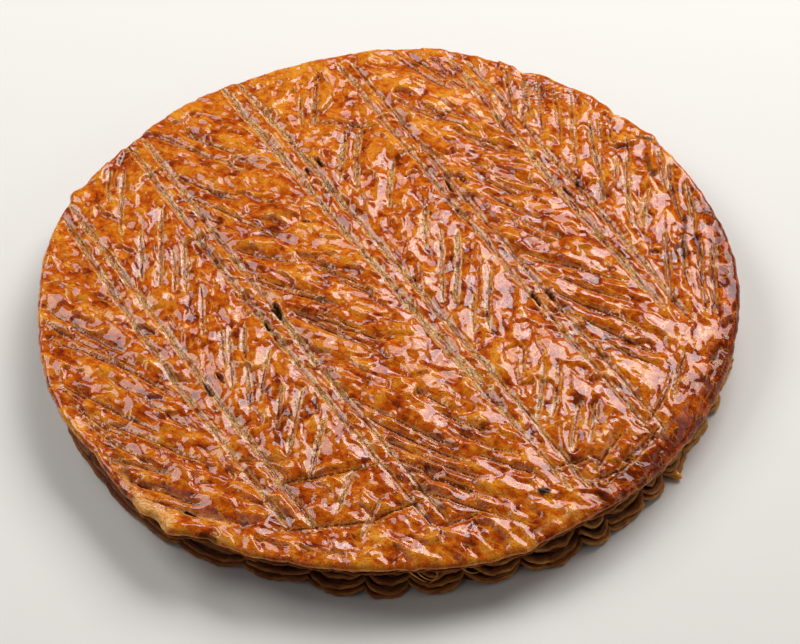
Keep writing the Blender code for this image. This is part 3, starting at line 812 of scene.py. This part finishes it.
def layersMaterial():
    # baked layers seen from the side: pale leaf edges and brown faces, with painted shade near black in the
    # gaps between and behind the leaves, and painted light and shade on parts of the side
    material, tree, shader, where = newMaterial("bakedLayers")
    spots = put(tree, "ShaderNodeGroup", {"Patch Scale": 50.0, "Blotch Scale": 240.0,
                                          "Speck Scale": 900.0}, node_tree=mottle)
    leaf, gapShade, sideLightAndShade = layer(tree, "leaf"), layer(tree, "gapShade"), layer(tree, "sideLightAndShade")
    brown = sums(tree, "MULTIPLY", spots.outputs["Patches"], 0.7)
    face = blend(tree, brown, baked["face"], baked["browned"])
    face = blend(tree, sums(tree, "MULTIPLY", spots.outputs["Blotches"], 0.7), face,
                 baked["browned"])
    # painted light: the lit parts of the side turn golden
    face = blend(tree, ranged(tree, sideLightAndShade, 0.0, 1.0, 0.0, 0.8), face, baked["sideLightAndShade"])
    streak = noiseMask(tree, where, 330.0, 0.40, 0.62, 3.0)
    leaves = put(tree, "ShaderNodeGroup", {"Off": layer(tree, "leafOff"),
                                           "Along": layer(tree, "leafAlong")},
                 node_tree=fibres).outputs["Fibres"]
    face = blend(tree, sums(tree, "MULTIPLY", leaves, 0.5), face, baked["edge"])
    edge = sums(tree, "MULTIPLY", leaf, ranged(tree, streak, 0, 1, 0.25, 1.0))
    colour = blend(tree, edge, face, baked["edge"])
    # painted shade darkens the shaded parts of the side; painted light eases the gap shade on the lit parts
    colour = blend(tree, ranged(tree, sideLightAndShade, 0.0, -1.0, 0.0, 0.8), colour, baked["browned"])
    gapShade = sums(tree, "MULTIPLY", gapShade, ranged(tree, sideLightAndShade, 0.0, 1.0, 1.0, 0.75))
    # painted shade: the gaps between and behind the leaves are painted near black
    colour = blend(tree, gapShade, colour, baked["deep"])
    tree.links.new(colour, shader.inputs["Base Color"])
    shader.inputs["Roughness"].default_value = baked["roughness"]
    shader.inputs["Specular IOR Level"].default_value = baked["shine"]
    height = put(tree, "ShaderNodeGroup", {"Fold Scale": 420.0, "Fold Share": 0.5,
                                           "Pit Share": 0.4}, node_tree=grain).outputs[0]
    height = sums(tree, "ADD", height, sums(tree, "MULTIPLY", streak, 0.5))
    height = sums(tree, "ADD", height, sums(tree, "MULTIPLY", leaves, 1.6))
    bump = put(tree, "ShaderNodeBump", {"Height": height, "Distance": baked["grainDepth"],
                                        "Strength": baked["grainStrength"]})
    tree.links.new(bump.outputs[0], shader.inputs["Normal"])
    return material


# ---- the glazed lid ----
lid = {
    "rings": 178,              # about 0.8 mm between points
    "edgeZ": 19.8, "shoulderZ": 21.4, "shoulderWidth": 4.5, "centreZ": 25.4,
    "wavy": 0.5, "puff": 1.25, "puffReach": 2.6, "lip": 0.10,
    "plateSize": 5.6, "plateTilt": 0.125, "plateSharp": 22.0,
    "chipSize": 2.4, "chipTilt": 0.05,
    "blisterSize": 3.2, "blisterHeight": 0.025, "stretch": 1.8, "slant": -33,
    "rimStreaks": [(340, 34, 0.9)],   # where the skin's creases run along the rim
    "snap": 0.38,              # how far points move to a cut's edge
    # the edge below the top: how far out, how far down, pale leaf (above 0) or painted shade of the hollow
    # under the lid (below 0)
    "edge": [(0.1, -0.5, 0.8), (-0.9, -1.0, 0.6), (-9.0, -1.3, -1.0)],
    "nick": 0.35, "nickWidth": 2.2,   # where a notch of the side nicks the rim
    # where the rim stands out or is broken in: angle, outward, width along the rim, lift
    "rimMarks": [(62, -2.0, 3.0, 0), (41.5, -2.2, 3.5, 0), (153.8, 1.8, 2.6, 0.3),
                 (214, -2.0, 14.0, 0.3), (228, 2.4, 5.0, 0.8), (234, 4.0, 6.0, 0.8),
                 (239.5, -1.6, 3.0, -0.3), (247, 1.2, 4.0, 0.2), (33, 1.0, 4.0, 0.8),
                 (289, 1.0, 5.0, 0.3), (285, 2.6, 26.0, -2.4)],
    # dark strokes and spots: both ends, half width, strength
    "scorched": [((54, -110), (56, -110), 1.8, 1.0), ((-73, -120), (-69, -122), 2.6, 0.75),
                 ((-45, -12), (-43, -14), 1.4, 0.9), ((110, 75), (115, 72), 1.2, 0.75),
                 ((112, 64), (113, 50), 1.7, 0.6), ((124, 27), (121, 6), 1.5, 0.6),
                 ((127, 18), (128, 4), 1.2, 0.6), ((-106, -76), (-99, -91), 1.6, 0.5),
                 ((72, 107), (75, 106), 1.0, 0.5), ((-30, 60), (-29, 62), 0.8, 0.6)],
    # pale dry strokes and spots where a flake has lifted: both ends, half width, strength
    "lifted": [((-96, -100), (-84, -111), 3.6, 0.95), ((-79, -107), (-62, -116), 1.3, 0.8),
               ((-107, -84), (-97, -97), 1.2, 0.7), ((112, -60), (114, -59), 1.6, 0.9),
               ((72, 81), (73, 81), 0.9, 0.8), ((-40, -127), (-20, -132), 1.0, 0.5),
               ((108, 40), (104, 24), 1.0, 0.8), ((50, -125), (66, -118), 1.0, 0.5)],
    # steps where the skin drops towards the rim: both ends, drop
    "steps": [((-48, -99), (-8, -90), 0.7), ((-50, -120), (-12, -119), 0.8),
              ((-14, -120), (12, -109), 0.7), ((60, -101), (88, -88), 0.6),
              ((-69, 123), (-38, 128), 0.6), ((62, 118), (78, 112), 0.6)],
    # darker browning near the rim on the right, golden skin towards the back
    "shadeFrom": 45, "shadeFull": 95, "shadeWidth": 13.0, "backGold": 0.9,
}


def lidHeight(x, y):
    room = np.maximum(roomToRim(x, y), 0)
    out = np.minimum(np.hypot(x, y) / (plan["radius"] - lid["shoulderWidth"]), 1)
    dome = lid["centreZ"] + (lid["shoulderZ"] - lid["centreZ"]) * out ** 3
    sag = bulges(np.arctan2(y, x), plan["sags"])
    turn = np.clip(1 - room / (lid["shoulderWidth"] + 0.6 * sag), 0, 1)
    height = lid["edgeZ"] + (dome - lid["edgeZ"]) * np.sqrt(np.maximum(1 - turn ** 4, 0))
    return height - sag * np.clip(1 - room / plan["sagWidth"], 0, 1) ** 2


def rimShift(turn):
    # small nicks and raggedness of the rim, outward
    around = turn * plan["radius"]
    shift = 0.5 * lumps(around, 0 * turn, 8.0, 13) + 0.22 * lumps(around, 0 * turn, 2.8, 14)
    draw = random.Random(4)
    for notch in notchAngles[:-1]:
        away = np.mod(turn - notch + math.pi, math.tau) - math.pi
        depth = lid["nick"] * max(0, draw.uniform(-0.3, 1))
        shift = shift - depth * np.exp(-(away * plan["radius"] / lid["nickWidth"]) ** 2)
    marks = [(angle, width / plan["radius"] * 57.3, out) for angle, out, width, lift in
             lid["rimMarks"]]
    return shift + bulges(turn, marks)


def rimLift(turn):
    marks = [(angle, width / plan["radius"] * 57.3, lift) for angle, out, width, lift in
             lid["rimMarks"]]
    return bulges(turn, marks)


def strokeMask(x, y, marks):
    # 1 inside the strokes of a list of both ends, half width and strength
    mask = np.zeros(x.shape)
    for (x0, y0), (x1, y1), half, strength in marks:
        length = math.hypot(x1 - x0, y1 - y0)
        ux, uy = (x1 - x0) / length, (y1 - y0) / length
        along = np.clip((x - x0) * ux + (y - y0) * uy, 0, length)
        away = np.hypot(x - x0 - along * ux, y - y0 - along * uy) + 0.3 * half * lumps(x, y, 1.8, 8)
        mask = np.maximum(mask, strength * smooth(half, half * 0.5, away))
    return mask


def stepDrop(x, y):
    # how far the skin has dropped beyond the step creases
    drop = np.zeros(x.shape)
    for (x0, y0), (x1, y1), depth in lid["steps"]:
        length = math.hypot(x1 - x0, y1 - y0)
        ux, uy = (x1 - x0) / length, (y1 - y0) / length
        along = ((x - x0) * ux + (y - y0) * uy) / length
        outward = 1 if (x0 * -uy + y0 * ux) > 0 else -1
        beyond = ((x - x0) * -uy + (y - y0) * ux) * outward + 0.6 * lumps(along * length, 0 * x, 7, 51)
        ends = smooth(-0.08, 0.12, along) * smooth(1.08, 0.88, along)
        drop = drop + depth * ends * smooth(-0.4, 0.5, beyond) * np.exp(-np.maximum(beyond, 0) / 9)
    return drop


def crumple(x, y, upright):
    # the crumpled skin: plates, chips on them and low blisters, drawn out along the barbs
    lean = math.radians(lid["slant"])
    along, across = x * math.cos(lean) + y * math.sin(lean), y * math.cos(lean) - x * math.sin(lean)
    turn, room = np.arctan2(y, x), roomToRim(x, y)
    onRim = smooth(14, 6, room) * np.clip(bulges(turn, lid["rimStreaks"]), 0, 1)
    skins = []
    for a, b, seed in ((x, y / lid["stretch"], 5), (along / lid["stretch"], across, 8),
                       (turn * plan["radius"] / 2.0, room, 12)):
        bendX, bendY = 1.1 * lumps(a, b, 3.4, seed + 60), 1.1 * lumps(a, b, 3.4, seed + 61)
        a, b = a + bendX, b + bendY
        skins.append(scales(a, b, lid["plateSize"], lid["plateTilt"], lid["plateSharp"], seed)
                     + scales(a, b, lid["chipSize"], lid["chipTilt"], lid["plateSharp"], seed + 1)
                     + lid["blisterHeight"] * (folds(a, b, lid["blisterSize"], seed + 2) - 0.35))
    return (1 - onRim) * (upright * skins[0] + (1 - upright) * skins[1]) + onRim * skins[2]


def lidGrid(cuts):
    # rings of points over the plan, moved onto the edges of the cuts
    rings, places, faces = lid["rings"], [np.zeros((1, 2))], []
    for ring in range(1, rings + 1):
        turn = np.arange(6 * ring) * math.tau / (6 * ring)
        reach = outlineRadius(turn) * ring / rings
        places.append(np.stack([np.cos(turn) * reach, np.sin(turn) * reach], 1))
    starts = np.cumsum([0] + [len(p) for p in places])
    for ring in range(1, rings + 1):
        inner, outer = starts[ring - 1], starts[ring]
        inCount, outCount = max(6 * (ring - 1), 1), 6 * ring
        for sector in range(6):
            j = np.arange(ring)
            o0 = outer + sector * ring + j
            o1 = outer + (sector * ring + j + 1) % outCount
            i0 = inner + (sector * (ring - 1) + j) % inCount
            faces.append(np.stack([i0, o0, o1], 1))
            i1 = inner + (sector * (ring - 1) + j[:-1] + 1) % inCount
            faces.append(np.stack([i0[:-1], o1[:-1], i1], 1))
    x, y = np.concatenate(places).T
    x, y = snapToCuts(x, y, cuts)
    return x, y, faces, np.arange(starts[rings], starts[rings + 1])


def buildLid(cuts):
    x, y, faces, rim = lidGrid(cuts)
    read = readCuts(x, y, cuts)
    near, room = read["near"], roomToRim(x, y)
    outside = np.maximum(near, 0)
    puffed = 1 - np.exp(-outside / lid["puffReach"])
    uneven = np.clip(0.85 + 0.7 * lumps(x, y, 30.0, 44), 0.3, 1.4)
    relief = lid["puff"] * uneven * (puffed - 0.6) + crumple(x, y, read["upright"])
    lip = lid["lip"] * np.clip(0.8 + 0.7 * lumps(x, y, 5.0, 43), 0, 1.8)
    relief = relief + lip * np.exp(-((outside - 0.5) / 0.45) ** 2) * (near > -0.2)
    fade = smooth(0, 3, room)
    z = lidHeight(x, y) + lid["wavy"] * lumps(x, y, 38.0, 7) + relief * (0.6 + 0.4 * fade)
    z = z - read["depth"] * (0.3 + 0.7 * fade) - stepDrop(x, y)
    slit = readSlits(x, y)
    z = z - slitDepth * smooth(0.15, -0.5, slit) + 0.25 * np.exp(-((slit - 0.7) / 0.6) ** 2)
    relief = (relief - relief.mean()) / relief.std()
    # scorched strokes and spots, and painted shade inside the steam slits
    scorchAndSlitShade = np.maximum(smooth(0.25, -0.15, slit), strokeMask(x, y, lid["scorched"]))
    lifted = strokeMask(x, y, lid["lifted"])
    patchy = lumps(x, y, 17.0, 9)
    thin = smooth(5, 1, room + 3.0 * lumps(x, y, 8.0, 10)) * smooth(-0.15, 0.45, patchy)
    shade = smooth(lid["shadeWidth"], 2, room + 2.5 * patchy)
    shade = shade * smooth(lid["shadeFrom"], lid["shadeFull"], x) * smooth(55, 20, y)
    thin = np.maximum(thin, lid["backGold"] * smooth(40, 110, y) * smooth(-0.6, 0.4, patchy))
    layers = {"cutNear": near, "cutOpen": read["gape"], "cutOff": read["off"],
              "cutAlong": read["along"], "upright": read["upright"], "relief": relief,
              "thin": thin * smooth(0.8, 0.2, shade), "shade": shade, "scorchAndSlitShade": scorchAndSlitShade,
              "leaf": lifted, "gapShade": np.zeros(x.shape)}
    turn = np.arctan2(y, x)
    z = z + rimLift(turn) * smooth(9, 0, room)
    shift = rimShift(turn) * smooth(9, 0, room)
    points = np.stack([x + np.cos(turn) * shift, y + np.sin(turn) * shift, z], 1)

    upper, rimTurn = rim, turn[rim]
    rimReach, rimZ = np.hypot(*points[rim, :2].T), z[rim]
    for out, down, leafShare in lid["edge"]:
        ring = np.stack([np.cos(rimTurn) * (rimReach + out), np.sin(rimTurn) * (rimReach + out),
                         rimZ + down], 1)
        lower = np.arange(len(points), len(points) + len(rim))
        points = np.concatenate([points, ring])
        faces.append(ringFaces(upper, lower))
        paler = np.clip(0.7 + 0.8 * lumps(rimTurn * plan["radius"], 0 * rimTurn, 9.0, 18), 0.2, 1)
        # a negative share on an edge ring paints the hollow under the lid with shade
        fills = {"cutNear": 9, "leaf": max(leafShare, 0) * paler, "gapShade": max(-leafShare, 0)}
        layers = {name: np.append(values, np.zeros(len(rim)) + fills.get(name, 0))
                  for name, values in layers.items()}
        upper = lower
    points = np.concatenate([points, [[0, 0, rimZ.mean() + lid["edge"][-1][1]]]])
    hub = np.full(len(rim), len(points) - 1)
    faces.append(np.stack([np.roll(upper, -1), upper, hub], 1))
    layers = {name: np.append(values, values[-1]) for name, values in layers.items()}
    makePiece("lid", points, np.concatenate(faces), lidMaterial(), layers)
    order = np.argsort(rimTurn)
    return rimTurn[order], rimReach[order], rimZ[order]


# ---- the leaves under the lid and the crimped side ----
leafing = {
    "columns": 1500, "reachIn": 4.5,
    # leaves of the lid's cut edge: inset from the lid's rim, drop below it, thickness
    "lidLeaves": [(0.7, 1.5, 0.7), (1.3, 2.4, 0.6), (0.7, 3.2, 0.6), (2.4, 4.0, 0.6)],
    "ragged": 0.8, "curl": 0.5,
    # leaves of the crimped side, from the top: inset from the outline, height, thickness
    "sideLeaves": [(6.6, 12.2, 0.9), (4.9, 9.8, 1.5), (3.0, 6.9, 2.1), (1.5, 4.1, 1.8),
                   (0.5, 1.7, 1.8)],
    "smile": 2.6,              # how far the leaves rise towards a notch
    # how much one lobe differs from the next: height, tilt, reach
    "ownRise": 0.9, "ownTilt": 3.0, "ownReach": 0.6,
    # painted light and shade on the side: angle, spread in degrees, how much; above 0 paints the lit parts
    # golden and eases the painted gap shade, below 0 paints them shaded dark brown
    "sideLightAndShade": [(334, 18, 1.0), (217, 17, -0.9), (256, 18, -0.6)],
}
core = {
    "columns": 700, "rows": 18,
    # the mass behind the leaves: inset from the outline, height, share of lobe depth
    "profile": [(10.0, 15.8, 0.0), (9.0, 14.0, 0.3), (7.6, 10.6, 0.8), (5.6, 7.0, 1.0),
                (3.6, 3.6, 1.0), (2.6, 1.2, 1.0), (3.4, 0.0, 0.9)],
}


def leafRing(turn, reach, height, thick, inward):
    # a thin sheet all round the cake; rings of points from its top inner line to its under side
    edges = [(inward, 0.5), (0.9, 0.5), (0.25, 0.32), (0.0, 0.0), (0.35, -0.4), (1.0, -0.5),
             (inward, -0.5)]
    # how pale each ring of a leaf is, and how much painted shade it takes, darkest deep inside where the leaf
    # meets the mass behind it
    leafShare, gapShadeShare = [0, 0.4, 1.0, 0.8, 0.2, 0, 0], [1, 0.2, 0, 0, 0.3, 0.8, 1]
    rings = [np.stack([np.cos(turn) * (reach - back), np.sin(turn) * (reach - back),
                       height + up * thick], 1) for back, up in edges]
    return rings, leafShare, gapShadeShare, [back + 3 * up for back, up in edges]


# painted light (above 0) and painted shade (below 0) round the side
def sideLightAndShadeShare(points):
    return np.clip(bulges(np.arctan2(points[:, 1], points[:, 0]), leafing["sideLightAndShade"]), -1, 1)


def alongRim(points):
    return np.arctan2(points[:, 1], points[:, 0]) * plan["radius"]


def sheetPiece(name, sheets, tones):
    # one piece from several leaf rings
    points, faces, leaf, gapShade, off, start = [], [], [], [], [], 0
    for (rings, leafShare, gapShadeShare, offs), tone in zip(sheets, tones):
        count = len(rings[0])
        for number, ring in enumerate(rings):
            points.append(ring)
            leaf.append(leafShare[number] * tone)
            gapShade.append(np.full(count, gapShadeShare[number]))
            off.append(np.full(count, offs[number] + start))
            upper = start + number * count + np.arange(count)
            lower = start + (number + 1) % len(rings) * count + np.arange(count)
            faces.append(ringFaces(upper, lower))
        start += count * len(rings)
    points = np.concatenate(points)
    layers = {"leaf": np.concatenate(leaf), "gapShade": np.concatenate(gapShade),
              "sideLightAndShade": sideLightAndShadeShare(points), "leafOff": np.concatenate(off),
              "leafAlong": alongRim(points)}
    return makePiece(name, points, np.concatenate(faces), side, layers)


def flatShare(turn):
    # how far the lobes are pressed flat
    return np.clip(bulges(turn, lobes["flat"]), 0, 1)


def lobeShape(turn, height):
    # notch share, lobe number and place across it, for a height above the base
    around = turn * plan["radius"]
    lean = lobes["lean"] / plan["radius"] * (height / lid["edgeZ"] - 1)
    number, across = acrossLobe(turn - lean + 0.010 * lumps(around, 0 * turn + height, 9, 31))
    own = np.random.default_rng(5).uniform(0, 1, (2, lobes["count"]))
    skewed = across ** (0.7 + 0.8 * own[0][number])
    deep = (0.45 + 0.8 * own[1][number]) * (1 - flatShare(turn))
    return (1 - np.sin(math.pi * skewed) ** 0.5) * deep, number, across


def sideShift(turn, height):
    # how far the side stands out at a height, on top of its usual place
    foot = smooth(9.0, 3.0, height)
    return foot * bulges(turn, lobes["spread"]) - (1 - foot) * bulges(turn, lobes["tucked"])


def buildLidLeaves(rimTurn, rimReach, rimZ):
    turn = np.arange(leafing["columns"]) * math.tau / leafing["columns"]
    around = turn * plan["radius"]
    reachHere = np.interp(turn, np.mod(rimTurn, math.tau)[np.argsort(np.mod(rimTurn, math.tau))],
                          rimReach[np.argsort(np.mod(rimTurn, math.tau))], period=math.tau)
    zHere = np.interp(turn, np.mod(rimTurn, math.tau)[np.argsort(np.mod(rimTurn, math.tau))],
                      rimZ[np.argsort(np.mod(rimTurn, math.tau))], period=math.tau)
    sheets, tones = [], []
    for number, (inset, drop, thick) in enumerate(leafing["lidLeaves"]):
        ragged = lumps(around, 0 * turn + number * 9, 5.0, 11) + 0.5 * lumps(around, 0 * turn + number, 1.9, 15)
        wide = lumps(around, 0 * turn + number * 5, 24.0, 16)
        reach = reachHere - inset + leafing["ragged"] * ragged + 1.0 * wide
        curl = leafing["curl"] * (lumps(around, 0 * turn + number * 4, 9.0, 12) + wide)
        sheets.append(leafRing(turn, reach, zHere - drop + curl, thick, leafing["reachIn"]))
        tones.append(np.clip(0.75 + 0.6 * lumps(around, 0 * turn + number * 3, 12.0, 17), 0.15, 1))
    sheetPiece("lidLeaves", sheets, tones)


def buildSideLeaves():
    turn = np.arange(leafing["columns"]) * math.tau / leafing["columns"]
    around = turn * plan["radius"]
    own = np.random.default_rng(3).uniform(-1.5, 1.5, (4, lobes["count"]))
    sheets, tones = [], []
    for number, (inset, height, thick) in enumerate(leafing["sideLeaves"]):
        notch, lobe, across = lobeShape(turn, height)
        low = smooth(13, 7, height)
        rise = leafing["smile"] * np.abs(2 * across - 1) ** 2.4 * (0.45 + 0.55 * low)
        rise = rise + leafing["ownRise"] * own[0][lobe]
        rise = rise + leafing["ownTilt"] * own[1][lobe] * (across - 0.5)
        flat = flatShare(turn)
        rise = rise + 0.9 * lumps(around, 0 * turn + number * 4, 7.0, 32)
        rise = (rise + 0.3 * lumps(around, 0 * turn + number * 4, 2.2, 33)) * (1 - 0.7 * flat)
        z = np.clip(height + rise * smooth(0, 2.5, height), 0.5 * thick, 14.5)
        z = z * (1 - bulges(turn, plan["sags"]) / lid["edgeZ"])
        reach = outlineRadius(turn) - inset - lobes["depth"] * notch * (0.5 + 0.5 * low)
        loose = leafing["ownReach"] * own[2][lobe] * low
        loose = loose + 1.0 * lumps(around, 0 * turn + number * 8, 7.0, 35)
        loose = loose + 0.5 * lumps(around, 0 * turn + number * 8, 2.4, 37)
        reach = reach + sideShift(turn, height) + loose * (1 - 0.7 * flat)
        sheets.append(leafRing(turn, reach, z, thick, leafing["reachIn"]))
        tones.append(np.clip(0.55 + 0.9 * lumps(around, 0 * turn + number * 3, 6.0, 38)
                             + 0.15 * own[3][lobe], 0.0, 1))
    sheetPiece("crimpedLeaves", sheets, tones)


def buildCore():
    columns, rows = core["columns"], core["rows"]
    turn = np.arange(columns) * math.tau / columns
    profile = np.array(core["profile"])
    lengths = np.hypot(*np.diff(profile[:, :2], axis=0).T)
    places = np.concatenate([[0], np.cumsum(lengths)]) / lengths.sum()
    points, faces = [], []
    for row in range(rows + 1):
        inset, height, lobeShare = (np.interp(row / rows, places, profile[:, c]) for c in range(3))
        notch = lobeShape(turn, height)[0]
        radius = outlineRadius(turn) - inset - lobes["depth"] * lobeShare * notch
        radius = radius + sideShift(turn, height)
        radius = radius + 0.5 * lumps(turn * plan["radius"], 0 * turn + height * 2, 5.0, 36)
        sunk = height * (1 - bulges(turn, plan["sags"]) / lid["edgeZ"])
        points.append(np.stack([np.cos(turn) * radius, np.sin(turn) * radius, sunk], 1))
        if row:
            faces.append(ringFaces(np.arange(columns) + (row - 1) * columns,
                                   np.arange(columns) + row * columns))
    top, base = np.arange(columns), np.arange(columns) + rows * columns
    count = len(points) * columns
    faces.append(np.stack([top, np.roll(top, -1), np.full(columns, count)], 1))
    faces.append(np.stack([np.roll(base, -1), base, np.full(columns, count + 1)], 1))
    points.append(np.array([[0, 0, core["profile"][0][1]], [0, 0, 0]]))
    points, blank = np.concatenate(points), np.zeros(count + 2)
    # the core behind the leaves is painted three quarters of the way to the near-black gap shade
    makePiece("crimpedCore", points, np.concatenate(faces), side,
              {"leaf": blank, "gapShade": blank + 0.75, "sideLightAndShade": sideLightAndShadeShare(points),
               "leafOff": points[:, 2], "leafAlong": alongRim(points)})


# ---- what hangs off the cake ----
drip = {"at": (106.6, -89.0, 1.5), "size": (3.0, 2.2, 1.5), "turn": -40, "steps": (24, 14),
        "colour": (0.80, 0.30, 0.03, 1), "roughness": 0.12}
shreds = {
    # thin torn shreds below the lid's front rim: start, end, sag of the middle, width
    "strands": [((3, -138.6, 17.2), (9, -140.6, 13.2), (0.8, -0.6, -0.9), 0.55),
                ((6, -138.8, 16.8), (15, -139.6, 14.6), (0, -1.6, -1.4), 0.45),
                ((13, -138.6, 16.6), (10, -141.0, 12.6), (1.2, -0.6, 0.4), 0.4),
                ((22, -137.6, 16.8), (29, -138.6, 15.0), (0, -1.2, -0.8), 0.45)],
    "steps": 12, "sides": 6,
}


def buildDrip():
    # a flattened drop of glaze that has run down onto the floor
    turns, rows = drip["steps"]
    turn = np.arange(turns) * math.tau / turns
    lean = math.radians(drip["turn"])
    points, faces = [np.array([[0, 0, 1.0]])], []
    for row in range(1, rows):
        lift = math.pi * row / rows
        bulge = math.sin(lift) * (1 + 0.12 * np.cos(turn * 2 + 1) + 0.08 * np.cos(turn * 3))
        points.append(np.stack([np.cos(turn) * bulge, np.sin(turn) * bulge,
                                np.full(turns, math.cos(lift))], 1))
        if row > 1:
            faces.append(ringFaces(np.arange(turns) + 1 + (row - 2) * turns,
                                   np.arange(turns) + 1 + (row - 1) * turns))
    points.append(np.array([[0, 0, -1.0]]))
    points = np.concatenate(points) * drip["size"]
    ring, last = np.arange(turns) + 1, len(points) - 1
    faces.append(np.stack([np.zeros(turns, int), ring, np.roll(ring, -1)], 1))
    faces.append(np.stack([np.full(turns, last), np.roll(ring, -1) + last - 1 - turns,
                           ring + last - 1 - turns], 1))
    x, y, z = points.T
    points = np.stack([x * math.cos(lean) - y * math.sin(lean),
                       x * math.sin(lean) + y * math.cos(lean), z], 1) + drip["at"]
    material, tree, shader, where = newMaterial("amberDrip")
    shader.inputs["Base Color"].default_value = drip["colour"]
    shader.inputs["Roughness"].default_value = drip["roughness"]
    makePiece("drip", points, np.concatenate(faces), material)


def buildShreds():
    steps, sides = shreds["steps"], shreds["sides"]
    points, faces, start = [], [], 0
    turn = np.arange(sides) * math.tau / sides
    for first, last, sag, width in shreds["strands"]:
        first, last, sag = (np.array(v, float) for v in (first, last, sag))
        for step in range(steps + 1):
            share = step / steps
            at = first + (last - first) * share + sag * 4 * share * (1 - share)
            half = width / 2 * (1 - 0.85 * share) + 0.03
            points.append(at + np.stack([np.cos(turn) * half, np.sin(turn) * half * 0.5,
                                         np.sin(turn) * half], 1))
            if step:
                lower = np.arange(sides) + start + step * sides
                faces.append(ringFaces(lower - sides, lower))
        for cap, ring in ((start, np.arange(1, sides - 1)),):
            faces.append(np.stack([np.full(sides - 2, cap), ring + cap, ring + cap + 1], 1))
            cap += steps * sides
            faces.append(np.stack([np.full(sides - 2, cap), ring + cap + 1, ring + cap], 1))
        start += (steps + 1) * sides
    points = np.concatenate(points)
    blank = np.zeros(len(points))
    # the shreds take the painted side light in full and no painted gap shade
    makePiece("shreds", points, np.concatenate(faces), side,
              {"leaf": blank + 1, "gapShade": blank, "sideLightAndShade": blank + 1})


cuts = scoredCuts()
rimLine = buildLid(cuts)
print("lid made,", len(cuts), "cuts")
side = layersMaterial()
buildLidLeaves(*rimLine)
buildSideLeaves()
buildCore()
buildDrip()
buildShreds()
print("leaves, core, drip and shreds made")
